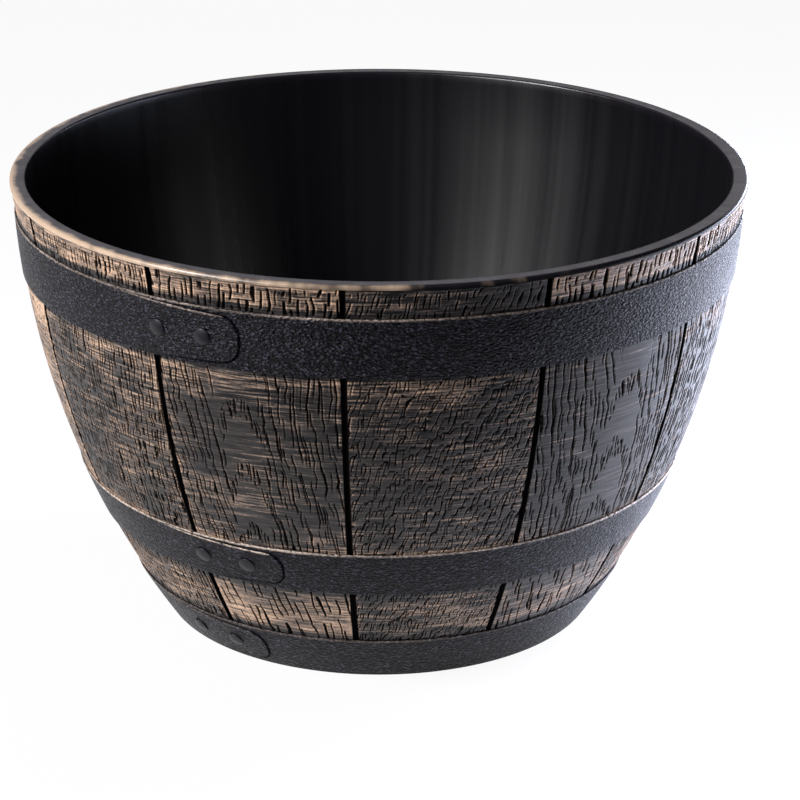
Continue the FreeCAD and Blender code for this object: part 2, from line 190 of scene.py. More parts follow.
@dataclass(frozen=True)
class BowedWall:
    """Upright section of the pot in millimetres: every wall is an arc about one bend axis."""

    rim_radius: float = CAD_BOX[1].x / MM
    height: float = CAD_BOX[1].z / MM
    base_radius: float = 100.0
    rim_flare: float = 0.9
    bow: float = 15.25
    fit_gap: float = 0.1
    hoop_thickness: float = 0.75
    stave_thickness: float = 3.0
    groove_depth: float = 1.6
    liner_thickness: float = 2.2
    lip_height: float = 1.8
    lip_overhang: float = 0.15
    flare_foot: float = 190.1

    @property
    def top_radius(self) -> float:
        """Radius at the rim of the arc that the hoops' faces follow."""
        return self.rim_radius - self.rim_flare

    @property
    def chord(self) -> float:
        """Length of the straight line from foot to rim."""
        return math.hypot(self.top_radius - self.base_radius, self.height)

    @property
    def hoop_bend(self) -> float:
        """Bend radius of the hoops' faces."""
        return self.chord ** 2 / (8.0 * self.bow) + self.bow / 2.0

    @property
    def bend_axis(self) -> tuple[float, float]:
        """Radius and height of the bend axis in the upright section."""
        reach = (self.hoop_bend - self.bow) / self.chord
        radius = (self.base_radius + self.top_radius) / 2.0 - reach * self.height
        return radius, self.height / 2.0 + reach * (self.top_radius - self.base_radius)

    @property
    def hoop_back(self) -> float:
        """Bend radius of the hoops' backs."""
        return self.hoop_bend - self.hoop_thickness

    @property
    def stave_face(self) -> float:
        """Bend radius of the staves' faces."""
        return self.hoop_back - self.fit_gap

    @property
    def groove_floor(self) -> float:
        """Bend radius of the grooves' floors."""
        return self.stave_face - self.groove_depth

    @property
    def stave_back(self) -> float:
        """Bend radius of the staves' backs."""
        return self.stave_face - self.stave_thickness

    @property
    def liner_face(self) -> float:
        """Bend radius of the liner's outer wall."""
        return self.stave_back - self.fit_gap

    @property
    def liner_inside(self) -> float:
        """Bend radius of the liner's inner wall."""
        return self.liner_face - self.liner_thickness

    @property
    def lip_underside(self) -> float:
        """Height of the lip's underside, where the staves end."""
        return self.height - self.lip_height

    def radius(self, bend: float, height: np.ndarray | float) -> np.ndarray:
        """Return a wall's distance from the pot's axis at a height."""
        axis_radius, axis_height = self.bend_axis
        return axis_radius + np.sqrt(bend ** 2 - (axis_height - np.asarray(height)) ** 2)

    def along(self, bend: float, height: np.ndarray | float) -> np.ndarray:
        """Measure along a wall from the floor.

        Args:
            bend: bend radius of the wall.
            height: heights above the floor.

        Returns:
            Length of the wall up to each height.
        """
        axis_height = self.bend_axis[1]
        turned = np.arcsin((axis_height - np.asarray(height)) / bend)
        return bend * (math.asin(axis_height / bend) - turned)

    def facing(self, bend: float, height: np.ndarray | float) -> tuple[np.ndarray, np.ndarray]:
        """Return the outward and upward parts of a wall's facing at a height."""
        down = (self.bend_axis[1] - np.asarray(height)) / bend
        return np.sqrt(1.0 - down ** 2), -down

    def stave_section(self, heights: np.ndarray) -> tuple[np.ndarray, np.ndarray, np.ndarray]:
        """Follow the staves' faces, bowed up to the top hoop and flared straight out above it.

        Args:
            heights: heights above the floor.

        Returns:
            The face's radius, and the outward and upward parts of its facing.
        """
        bowed = np.minimum(heights, self.flare_foot)
        radius = self.radius(self.stave_face, bowed)
        out, up = self.facing(self.stave_face, bowed)
        foot_radius = float(self.radius(self.stave_face, self.flare_foot))
        run = self.rim_radius - self.lip_overhang - foot_radius
        slope = run / (self.lip_underside - self.flare_foot)
        above = heights > self.flare_foot
        radius = radius + slope * np.maximum(heights - self.flare_foot, 0.0)
        out = np.where(above, 1.0 / math.hypot(1.0, slope), out)
        up = np.where(above, -slope / math.hypot(1.0, slope), up)
        return radius, out, up


def around(radius: np.ndarray, angle: np.ndarray, height: np.ndarray) -> np.ndarray:
    """Return points from radius, angle and height.

    Args:
        radius: distances from the pot's axis.
        angle: angles from +X, in radians.
        height: heights above the floor.

    Returns:
        Points with x, y and z last.
    """
    radius, angle, height = np.broadcast_arrays(radius, angle, height)
    return np.stack([radius * np.cos(angle), radius * np.sin(angle), height], axis=-1)


def place_in_scene(name: str, data: bpy.types.ID) -> bpy.types.Object:
    """Make an object and link it to the scene.

    Args:
        name: name of the new object.
        data: its mesh, lamp or camera.

    Returns:
        The new object.
    """
    thing = bpy.data.objects.new(name, data)
    bpy.context.scene.collection.objects.link(thing)
    return thing


def loop_faces(count: int, points: int, ring: bool) -> list[list[int]]:
    """List the four-sided faces between each loop of points and the next.

    Args:
        count: number of loops.
        points: points in each loop.
        ring: whether the last loop joins the first.

    Returns:
        Four point numbers per face.
    """
    index = np.arange(count * points).reshape(count, points)
    here = index if ring else index[:-1]
    above = np.roll(index, -1, axis=0) if ring else index[1:]
    corners = [here, np.roll(here, -1, axis=1), np.roll(above, -1, axis=1), above]
    return np.stack(corners, axis=-1).reshape(-1, 4).tolist()


def skin_loops(name: str, loops: np.ndarray, ring: bool) -> bpy.types.Object:
    """Join a stack of closed loops into one closed, smooth mesh.

    Args:
        name: name of the new object.
        loops: points in millimetres, as loops by points by three.
        ring: whether the last loop joins the first; if not, the end loops are capped.

    Returns:
        The new object, linked to the scene.
    """
    count, points = loops.shape[:2]
    faces = loop_faces(count, points, ring)
    sides = len(faces)
    if not ring:
        last = (count - 1) * points
        faces += [list(range(points))[::-1], list(range(last, last + points))]
    mesh = bpy.data.meshes.new(name)
    mesh.from_pydata((loops.reshape(-1, 3) * MM).tolist(), [], faces)
    mesh.polygons.foreach_set("use_smooth", [number < sides for number in range(len(faces))])
    work = bmesh.new()
    work.from_mesh(mesh)
    bmesh.ops.recalc_face_normals(work, faces=work.faces)
    work.to_mesh(mesh)
    work.free()
    return place_in_scene(name, mesh)


def store(thing: bpy.types.Object, name: str, values: np.ndarray) -> None:
    """Keep a number or a vector per point on a piece, for its material.

    Args:
        thing: piece that keeps the values.
        name: name of the attribute.
        values: one number, or one row of three, per point.
    """
    vector = values.size == 3 * len(thing.data.vertices)
    kind, slot = ("FLOAT_VECTOR", "vector") if vector else ("FLOAT", "value")
    attribute = thing.data.attributes.new(name, kind, "POINT")
    attribute.data.foreach_set(slot, np.ascontiguousarray(values, dtype=np.float32).ravel())


def seat(thing: bpy.types.Object, node: str, material: bpy.types.Material) -> None:
    """Dress a piece and let it stand for a CAD node.

    Args:
        thing: finished piece.
        node: CAD node that it stands for.
        material: finish of the piece.
    """
    thing.data.materials.append(material)
    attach(thing, "root")
    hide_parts(node)
    log.info("%s: %d faces", thing.name, len(thing.data.polygons))


@dataclass(frozen=True)
class BrushedStavePaint:
    """Black moulded polypropylene with carved grain, its high parts dry-brushed in bronze paint.

    Sizes are in millimetres, and levels are places in a pattern that runs from 0 to 1.
    """

    pit_colour: str = "#100e0e"
    ground_dark: str = "#0c0b0e"
    ground_light: str = "#494340"
    bronze_dark: str = "#807067"
    bronze_light: str = "#dab697"
    streak_length: float = 15.0
    streak_width: float = 0.75
    sweep_length: float = 32.0
    sweep_width: float = 2.1
    sweep_share: float = 0.35
    mottle_size: float = 1.4
    mottle_share: float = 0.22
    combed_low: float = 0.43
    combed_high: float = 0.64
    contrast: float = 4.4
    dryness: float = 0.07
    streak_relief: float = 0.14
    relief_strength: float = 0.8
    bare_level: float = 0.3
    full_level: float = 0.7
    smoothest: float = 0.36
    roughest: float = 0.56
    gloss: float = 0.42
    ior: float = 1.49

    def make(self) -> bpy.types.Material:
        """Make the finish.

        Returns:
            The material, which reads a stave's grain, paint and place.
        """
        # A dry brush drawn level leaves thin broken streaks on the high parts and misses the cut grain,
        # so the eye sees patchy warm bronze with a low sheen, lined in dull black.
        material, tree = new_material("dry_brushed_polypropylene")
        place = add_node(tree, "ShaderNodeAttribute", attribute_name="place").outputs["Vector"]
        # grain is 1 in the cut grain and also on the painted shade along the staves' edges.
        grain = add_node(tree, "ShaderNodeAttribute", attribute_name="grain").outputs["Fac"]
        paint = add_node(tree, "ShaderNodeAttribute", attribute_name="paint").outputs["Fac"]
        stretch = (1.0 / self.streak_length, 1.0 / self.streak_width, 1.0)
        laid = add_node(tree, "ShaderNodeVectorMath", {0: place, 1: stretch}, operation="MULTIPLY")
        streaks = add_node(tree, "ShaderNodeTexNoise", {
            "Vector": laid.outputs[0], "Scale": 1.0, "Detail": 2.0, "Roughness": 0.5})
        stretch = (1.0 / self.sweep_length, 1.0 / self.sweep_width, 1.0)
        drawn = add_node(tree, "ShaderNodeVectorMath", {0: place, 1: stretch}, operation="MULTIPLY")
        sweeps = add_node(tree, "ShaderNodeTexNoise", {
            "Vector": drawn.outputs[0], "Scale": 1.0, "Detail": 2.0, "Roughness": 0.55})
        lines = add_node(tree, "ShaderNodeMix", {
            "Factor": self.sweep_share, 2: streaks.outputs["Fac"], 3: sweeps.outputs["Fac"]})
        mottle = add_node(tree, "ShaderNodeTexNoise", {
            "Vector": place, "Scale": 1.0 / self.mottle_size, "Detail": 4.0, "Roughness": 0.65})
        cover = add_node(tree, "ShaderNodeMix", {
            "Factor": self.mottle_share, 2: lines.outputs[0], 3: mottle.outputs["Fac"]})
        uneven = add_node(tree, "ShaderNodeMath", {
            0: cover.outputs[0], 1: self.contrast, 2: -0.5 * self.contrast - self.dryness},
            operation="MULTIPLY_ADD")
        brushed = add_node(tree, "ShaderNodeMath", {0: paint, 1: uneven.outputs[0]}, use_clamp=True)
        high = add_node(tree, "ShaderNodeMath", {0: 1.0, 1: grain}, operation="SUBTRACT", use_clamp=True)
        wet = add_node(tree, "ShaderNodeMath", {0: brushed.outputs[0], 1: high.outputs[0]},
                       operation="MULTIPLY")
        combed = add_node(tree, "ShaderNodeMapRange", {
            "Value": lines.outputs[0], "From Min": self.combed_low, "From Max": self.combed_high})
        bare = add_node(tree, "ShaderNodeMix", {
            "Factor": combed.outputs[0], 6: linear(self.ground_dark), 7: linear(self.ground_light)},
            data_type="RGBA")
        ground = add_node(tree, "ShaderNodeMix", {
            "Factor": high.outputs[0], 6: linear(self.pit_colour), 7: bare.outputs[2]}, data_type="RGBA")
        bronze = add_node(tree, "ShaderNodeMix", {
            "Factor": brushed.outputs[0], 6: linear(self.bronze_dark), 7: linear(self.bronze_light)},
            data_type="RGBA")
        colour = add_node(tree, "ShaderNodeMix", {
            "Factor": wet.outputs[0], 6: ground.outputs[2], 7: bronze.outputs[2]}, data_type="RGBA")
        rough = add_node(tree, "ShaderNodeMapRange", {
            "Value": cover.outputs[0], "From Min": self.bare_level, "From Max": self.full_level,
            "To Min": self.smoothest, "To Max": self.roughest})
        bump = add_node(tree, "ShaderNodeBump", {
            "Strength": self.relief_strength, "Distance": self.streak_relief * MM,
            "Height": cover.outputs[0]})
        gloss = add_node(tree, "ShaderNodeMath", {0: high.outputs[0], 1: self.gloss}, operation="MULTIPLY")
        shader = add_node(tree, "ShaderNodeBsdfPrincipled", {
            "Base Color": colour.outputs[2], "Roughness": rough.outputs[0], "IOR": self.ior,
            "Specular IOR Level": gloss.outputs[0], "Normal": bump.outputs[0]})
        add_node(tree, "ShaderNodeOutputMaterial", {"Surface": shader.outputs[0]})
        return material


@dataclass(frozen=True)
class PebbledHoopPlastic:
    """Charcoal polypropylene moulded with a leathery crinkle, its crests drawn lighter as painted glints.

    Sizes are in millimetres, and levels are places in a pattern that runs from 0 to 1.
    """

    hollow_colour: str = "#040309"
    crest_glint_colour: str = "#413e4e"
    # The brush's bronze; on the top hoop its pale tone also serves as a painted highlight along the upper
    # edges.
    bronze_colour: str = "#cdbcae"
    crinkle_width: float = 1.7
    crinkle_height: float = 0.95
    crinkle_relief: float = 0.75
    pebbles_per_crinkle: float = 1.1
    pebble_core: float = 0.1
    pebble_rim: float = 0.75
    fold_low: float = 0.3
    fold_high: float = 0.7
    fold_share: float = 0.55
    tip_low: float = 0.52
    tip_high: float = 0.85
    smoothest: float = 0.3
    roughest: float = 0.5
    gloss: float = 0.17
    ior: float = 1.49

    def make(self) -> bpy.types.Material:
        """Make the finish.

        Returns:
            The material, which reads a hoop's paint and place; paint below 0 paints shade into a crease.
        """
        # Crests of the moulded crinkle are drawn lighter than the near-black hollows, as painted glints. A
        # brush caught some upper edges in bronze, whose pale line on the top hoop is also a painted
        # highlight, and the crease beside a lap is darkened as painted shade.
        material, tree = new_material("crinkle_grained_polypropylene")
        place = add_node(tree, "ShaderNodeAttribute", attribute_name="place").outputs["Vector"]
        paint = add_node(tree, "ShaderNodeAttribute", attribute_name="paint").outputs["Fac"]
        stretch = (1.0 / self.crinkle_width, 1.0 / self.crinkle_width, 1.0 / self.crinkle_height)
        laid = add_node(tree, "ShaderNodeVectorMath", {0: place, 1: stretch}, operation="MULTIPLY")
        creases = add_node(tree, "ShaderNodeTexNoise", {
            "Vector": laid.outputs[0], "Scale": 1.0, "Detail": 1.5, "Roughness": 0.45, "Distortion": 0.7})
        pebbles = add_node(tree, "ShaderNodeTexVoronoi", {
            "Vector": laid.outputs[0], "Scale": self.pebbles_per_crinkle, "Smoothness": 0.5},
            feature="SMOOTH_F1")
        crest = add_node(tree, "ShaderNodeMapRange", {
            "Value": pebbles.outputs["Distance"], "From Min": self.pebble_core,
            "From Max": self.pebble_rim, "To Min": 1.0, "To Max": 0.0})
        fold = add_node(tree, "ShaderNodeMapRange", {
            "Value": creases.outputs["Fac"], "From Min": self.fold_low, "From Max": self.fold_high})
        relief = add_node(tree, "ShaderNodeMix", {
            "Factor": self.fold_share, 2: crest.outputs[0], 3: fold.outputs[0]})
        tip = add_node(tree, "ShaderNodeMapRange", {
            "Value": relief.outputs[0], "From Min": self.tip_low, "From Max": self.tip_high},
            interpolation_type="SMOOTHSTEP")
        open_face = add_node(tree, "ShaderNodeMapRange", {"Value": paint, "From Min": -1.0, "From Max": 0.0})
        lit_tip = add_node(tree, "ShaderNodeMath", {0: tip.outputs[0], 1: open_face.outputs[0]},
                           operation="MULTIPLY")
        gloss = add_node(tree, "ShaderNodeMath", {0: open_face.outputs[0], 1: self.gloss},
                         operation="MULTIPLY")
        tone = add_node(tree, "ShaderNodeMix", {
            "Factor": lit_tip.outputs[0], 6: linear(self.hollow_colour), 7: linear(self.crest_glint_colour)},
            data_type="RGBA")
        caught = add_node(tree, "ShaderNodeMath", {0: paint, 1: relief.outputs[0]}, operation="MULTIPLY",
                          use_clamp=True)
        colour = add_node(tree, "ShaderNodeMix", {
            "Factor": caught.outputs[0], 6: tone.outputs[2], 7: linear(self.bronze_colour)},
            data_type="RGBA")
        rough = add_node(tree, "ShaderNodeMapRange", {
            "Value": relief.outputs[0], "To Min": self.roughest, "To Max": self.smoothest})
        bump = add_node(tree, "ShaderNodeBump", {
            "Strength": 1.0, "Distance": self.crinkle_relief * MM, "Height": relief.outputs[0]})
        shader = add_node(tree, "ShaderNodeBsdfPrincipled", {
            "Base Color": colour.outputs[2], "Roughness": rough.outputs[0], "IOR": self.ior,
            "Specular IOR Level": gloss.outputs[0], "Normal": bump.outputs[0]})
        add_node(tree, "ShaderNodeOutputMaterial", {"Surface": shader.outputs[0]})
        return material


@dataclass(frozen=True)
class GreyCrownRivetPlastic:
    """Charcoal polypropylene rivet heads, smoother than the hoops and greyer towards the crown.

    Sizes are in millimetres.
    """

    colour: str = "#16151a"
    crown_colour: str = "#232228"
    scuff_size: float = 2.2
    scuff_relief: float = 0.05
    relief_strength: float = 0.4
    smoothest: float = 0.3
    roughest: float = 0.5
    gloss: float = 0.3
    ior: float = 1.49

    def make(self) -> bpy.types.Material:
        """Make the finish.

        Returns:
            The material, which reads the crown from 0 at the rim of a head to 1 at its top.
        """
        # The crown of each moulded head is drawn greyer and uneven.
        material, tree = new_material("grey_crowned_polypropylene")
        place = add_node(tree, "ShaderNodeTexCoord").outputs["Object"]
        crown = add_node(tree, "ShaderNodeAttribute", attribute_name="crown").outputs["Fac"]
        scuffs = add_node(tree, "ShaderNodeTexNoise", {
            "Vector": place, "Scale": 1.0 / (self.scuff_size * MM), "Detail": 4.0, "Roughness": 0.7})
        # Greyer towards the crown of each head, broken up by noise.
        worn = add_node(tree, "ShaderNodeMath", {0: crown, 1: scuffs.outputs["Fac"]},
                        operation="MULTIPLY")
        colour = add_node(tree, "ShaderNodeMix", {
            "Factor": worn.outputs[0], 6: linear(self.colour), 7: linear(self.crown_colour)},
            data_type="RGBA")
        rough = add_node(tree, "ShaderNodeMapRange", {
            "Value": scuffs.outputs["Fac"], "To Min": self.smoothest, "To Max": self.roughest})
        bump = add_node(tree, "ShaderNodeBump", {
            "Strength": self.relief_strength, "Distance": self.scuff_relief * MM,
            "Height": scuffs.outputs["Fac"]})
        shader = add_node(tree, "ShaderNodeBsdfPrincipled", {
            "Base Color": colour.outputs[2], "Roughness": rough.outputs[0], "IOR": self.ior,
            "Specular IOR Level": self.gloss, "Normal": bump.outputs[0]})
        add_node(tree, "ShaderNodeOutputMaterial", {"Surface": shader.outputs[0]})
        return material


@dataclass(frozen=True)
class DrawnLinerPlastic:
    """Satin black polypropylene, marked by upright draw lines where the core left the mould.

    Sizes are in millimetres, and levels are places in a pattern that runs from 0 to 1.
    """

    colour: str = "#0c0b0f"
    lip_reflection_colour: str = "#1c191f"
    bronze_colour: str = "#bca48c"
    draw_width: float = 6.0
    draw_length: float = 400.0
    draw_relief: float = 0.06
    wall_relief: float = 0.5
    lip_relief: float = 0.05
    patch_size: float = 8.333
    paint_reach: float = 1.4
    bare_level: float = 1.2
    brush_low: float = -0.22
    brush_high: float = 0.34
    line_low: float = 0.3
    line_high: float = 0.7
    smoothest: float = 0.26
    roughest: float = 0.33
    gloss: float = 0.66
    ior: float = 1.49

    def make(self) -> bpy.types.Material:
        """Make the finish.

        Returns:
            The material, which reads the liner's paint, lip and place.
        """
        # A polished core leaves a satin wall whose soft glow breaks into faint upright lines. The lip is
        # drawn a shade greyer as painted reflection, and its side took the same bronze as the staves below
        # it.
        material, tree = new_material("satin_polypropylene")
        place = add_node(tree, "ShaderNodeAttribute", attribute_name="place").outputs["Vector"]
        paint = add_node(tree, "ShaderNodeAttribute", attribute_name="paint").outputs["Fac"]
        lip = add_node(tree, "ShaderNodeAttribute", attribute_name="lip").outputs["Fac"]
        stretch = (1.0 / self.draw_width, 1.0 / self.draw_width, 1.0 / self.draw_length)
        laid = add_node(tree, "ShaderNodeVectorMath", {0: place, 1: stretch}, operation="MULTIPLY")
        lines = add_node(tree, "ShaderNodeTexNoise", {
            "Vector": laid.outputs[0], "Scale": 1.0, "Detail": 1.0, "Roughness": 0.4})
        fine = add_node(tree, "ShaderNodeTexNoise", {
            "Vector": place, "Scale": 1.0 / self.patch_size, "Detail": 2.0, "Roughness": 0.5})
        body = add_node(tree, "ShaderNodeMix", {
            "Factor": lip, 6: linear(self.colour), 7: linear(self.lip_reflection_colour)}, data_type="RGBA")
        lack = add_node(tree, "ShaderNodeMath", {
            0: paint, 1: -self.paint_reach, 2: self.bare_level}, operation="MULTIPLY_ADD")
        excess = add_node(tree, "ShaderNodeMath", {0: fine.outputs["Fac"], 1: lack.outputs[0]},
                          operation="SUBTRACT")
        brushed = add_node(tree, "ShaderNodeMapRange", {
            "Value": excess.outputs[0], "From Min": self.brush_low, "From Max": self.brush_high},
            interpolation_type="SMOOTHSTEP")
        colour = add_node(tree, "ShaderNodeMix", {
            "Factor": brushed.outputs[0], 6: body.outputs[2], 7: linear(self.bronze_colour)},
            data_type="RGBA")
        rough = add_node(tree, "ShaderNodeMapRange", {
            "Value": lines.outputs["Fac"], "From Min": self.line_low, "From Max": self.line_high,
            "To Min": self.smoothest, "To Max": self.roughest})
        strength = add_node(tree, "ShaderNodeMapRange", {
            "Value": lip, "To Min": self.wall_relief, "To Max": self.lip_relief})
        bump = add_node(tree, "ShaderNodeBump", {
            "Strength": strength.outputs[0], "Distance": self.draw_relief * MM,
            "Height": lines.outputs["Fac"]})
        shader = add_node(tree, "ShaderNodeBsdfPrincipled", {
            "Base Color": colour.outputs[2], "Roughness": rough.outputs[0], "IOR": self.ior,
            "Specular IOR Level": self.gloss, "Normal": bump.outputs[0]})
        add_node(tree, "ShaderNodeOutputMaterial", {"Surface": shader.outputs[0]})
        return material


class Grain(Enum):
    """How the wood of a stave is carved."""

    CATHEDRAL = "long strokes with stacked arches between them"
    TICKED = "short leaning ticks all over"
    FINE = "close upright lines that waver"


@dataclass(frozen=True)
class Strokes:
    """One family of carved strokes, in millimetres: where they lie and how they are cut."""

    spacing: float
    shortest: float
    longest: float
    least_gap: float
    most_gap: float
    stray: float
    slant: float
    half_width: float
    depth: float
    hook: float = 0.0
    ledge: float = 0.0


class Band(Enum):
    """The three open bands of a stave, as their lowest and highest heights in millimetres."""

    FOOT = (23.1, 52.6)
    MAIN = (75.0, 163.6)
    RIM = (190.1, 203.2)


# Spacing, shortest, longest, least gap, most gap, stray, slant, half width, depth, then hook and ledge.
STROKES = {
    Grain.CATHEDRAL: {
        Band.FOOT: Strokes(4.3, 10.0, 26.0, 1.5, 6.0, 0.8, -0.14, 0.42, 0.7),
        Band.MAIN: Strokes(2.25, 7.0, 45.0, 1.2, 6.0, 0.5, -0.09, 0.32, 0.7),
        Band.RIM: Strokes(2.9, 9.0, 14.0, 0.5, 2.0, 0.6, 0.03, 0.48, 0.8),
    },
    Grain.TICKED: {
        Band.FOOT: Strokes(1.8, 2.5, 8.0, 0.5, 3.0, 0.6, 0.3, 0.26, 0.6, 0.9, 1.6),
        Band.MAIN: Strokes(1.8, 3.0, 12.0, 0.5, 4.0, 0.6, 0.24, 0.25, 0.62, 1.2, 2.4),
        Band.RIM: Strokes(2.0, 3.0, 10.0, 0.6, 3.0, 0.6, 0.2, 0.3, 0.65, 0.6),
    },
    Grain.FINE: {
        Band.FOOT: Strokes(1.9, 4.0, 18.0, 0.8, 3.0, 0.5, 0.06, 0.36, 0.68),
        Band.MAIN: Strokes(1.9, 4.0, 22.0, 0.8, 4.0, 0.5, 0.03, 0.36, 0.68),
        Band.RIM: Strokes(1.8, 6.0, 13.0, 0.4, 1.2, 0.5, 0.03, 0.42, 0.7),
    },
}
ARCH_TICKS = Strokes(1.75, 7.0, 16.0, 0.3, 1.2, 0.3, -0.05, 0.34, 0.7)


@dataclass
class LaidStrokes:
    """Strokes laid end to end along evenly spaced lines: their cut by line and row, and their ledges."""

    depth: np.ndarray
    shift: np.ndarray
    width: np.ndarray
    ledges: list[tuple[float, float, float]] = field(default_factory=list)


@dataclass(frozen=True)
class CarvedGrain:
    """The carved face of one stave, worked out on a grid of places across and along it."""

    kind: Grain
    seed: int
    arch_across: float = 0.0
    arch_foot: float = 0.0
    arch_period: float = 32.0
    arch_half_width: float = 11.0
    arch_side: float = 2.0
    arch_fall: float = 0.14
    arch_waver: float = 5.0
    arch_waver_size: tuple[float, float] = (9.0, 12.0)
    arch_jitter: float = 6.0
    arch_jitter_length: float = 60.0
    tick_share: float = 0.26
    tick_rise: float = 0.04
    tick_fall: float = 0.05
    reference_half_width: float = 40.0
    margin: float = 6.0
    wander: float = 3.0
    wander_size: tuple[float, float] = (18.0, 30.0)
    ripple: float = 1.4
    ripple_size: tuple[float, float] = (4.0, 4.5)
    stroke_edge: tuple[float, float] = (1.5, 0.5)
    taper: float = 7.0
    hook_start: float = 0.65
    lean_spread: tuple[float, float] = (0.4, 1.5)
    depth_spread: tuple[float, float] = (0.55, 1.15)
    width_spread: tuple[float, float] = (0.75, 1.25)
    ledge_spread: tuple[float, float] = (0.2, 1.0)
    ledge_edge: tuple[float, float] = (1.2, 0.9)
    ledge_half_height: float = 0.4
    ledge_depth: float = 0.7
    thinnest: float = 0.05

    @property
    def first_line(self) -> float:
        """Place across of the first line of strokes, just off the stave."""
        return -self.reference_half_width - self.margin

    def lay(self, strokes: Strokes, along: np.ndarray, seed: int) -> LaidStrokes:
        """Lay one family of strokes, each of its own length, lean, depth and width.

        Args:
            strokes: the family.
            along: places of the rows along the stave.
            seed: seed of this family.

        Returns:
            The laid strokes.
        """
        rng = np.random.default_rng(seed)
        count = int(-2.0 * self.first_line / strokes.spacing) + 1
        laid = LaidStrokes(*(np.zeros((count, len(along))) for _ in range(3)))
        for line in range(count):
            place = along[0] - rng.uniform(0.0, strokes.longest)
            while place < along[-1]:
                length = strokes.shortest * (strokes.longest / strokes.shortest) ** rng.random()
                share = (along - place) / length
                on = (share > 0.0) & (share < 1.0)
                ends = np.minimum(1.0, self.taper * np.minimum(share, 1.0 - share))
                lean = strokes.slant * rng.uniform(*self.lean_spread) * (share - 0.5) * length
                past_bend = np.maximum(share - self.hook_start, 0.0) / (1.0 - self.hook_start)
                lean += strokes.hook * rng.random() * past_bend ** 2
                laid.depth[line, on] = strokes.depth * rng.uniform(*self.depth_spread) * ends[on]
                laid.shift[line, on] = rng.normal(0.0, strokes.stray) + lean[on]
                laid.width[line, on] = strokes.half_width * rng.uniform(*self.width_spread)
                if on.any() and strokes.ledge:
                    half = 0.5 * strokes.ledge * rng.uniform(*self.ledge_spread)
                    middle = self.first_line + line * strokes.spacing + laid.shift[line, on][-1] + half
                    laid.ledges.append((middle, along[on][-1], half))
                place += length + rng.uniform(strokes.least_gap, strokes.most_gap)
        return laid

    def cut(self, strokes: Strokes, across: np.ndarray, along: np.ndarray, spread: np.ndarray,
            seed: int) -> np.ndarray:
        """Cut one family of strokes.

        Args:
            strokes: the family.
            across: grid of places across the stave, on its reference width.
            along: places of the rows along the stave.
            spread: true width over reference width, by row.
            seed: seed of this family.

        Returns:
            Depth of the cut at each place of the grid.
        """
        laid = self.lay(strokes, along, seed)
        wander = SoftField(seed + 1, *self.wander_size).swing(across, along[:, None])
        ripple = SoftField(seed + 2, *self.ripple_size).swing(across, along[:, None])
        flow = across + self.wander * wander + self.ripple * ripple
        nearest = np.rint((flow - self.first_line) / strokes.spacing).astype(int)
        rows = np.broadcast_to(np.arange(len(along))[:, None], flow.shape)
        cut = np.zeros_like(flow)
        # A stroke may stray over its neighbour's line, so each place looks at three lines.
        for step in (-1, 0, 1):
            line = np.clip(nearest + step, 0, len(laid.depth) - 1)
            off = flow - self.first_line - line * strokes.spacing - laid.shift[line, rows]
            reach = np.abs(off * spread[:, None]) / np.maximum(laid.width[line, rows], self.thinnest)
            cut = np.maximum(cut, laid.depth[line, rows] * smooth_step(*self.stroke_edge, reach))
        for middle, height, half in laid.ledges:
            near = np.abs(along - height) < self.ledge_half_height
            share = smooth_step(*self.ledge_edge, np.abs(flow[near] - middle) / half)
            cut[near] = np.maximum(cut[near], self.ledge_depth * strokes.depth * share)
        return cut

    def carve(self, band: Band, across: np.ndarray, along: np.ndarray, spread: np.ndarray) -> np.ndarray:
        """Carve one open band of the face.

        Args:
            band: the band.
            across: grid of places across the stave, on its reference width.
            along: places of the rows along the stave.
            spread: true width over reference width, by row.

        Returns:
            Depth of the grain at each place of the grid.
        """
        face = self.cut(STROKES[self.kind][band], across, along, spread, self.seed)
        if self.kind is not Grain.CATHEDRAL or band is not Band.MAIN:
            return face
        waver = SoftField(self.seed + 5, *self.arch_waver_size).swing(across, along[:, None])
        jitter = SoftField(self.seed + 6, ARCH_TICKS.spacing, self.arch_jitter_length)
        jitter = jitter.swing(across, along[:, None])
        off_centre = across - self.arch_across + self.arch_waver * waver
        arch = along[:, None] + self.arch_fall * off_centre ** 2 - self.arch_foot + self.arch_jitter * jitter
        phase = np.mod(arch, self.arch_period) / self.arch_period
        inside = smooth_step(self.arch_half_width, self.arch_half_width - self.arch_side, np.abs(off_centre))
        ticked = smooth_step(0.0, self.tick_rise, phase)
        ticked = ticked * smooth_step(self.tick_share + self.tick_fall, self.tick_share, phase)
        ticks = self.cut(ARCH_TICKS, across, along, spread, self.seed + 11)
        return np.maximum(face * (1.0 - inside), ticks * inside * ticked)


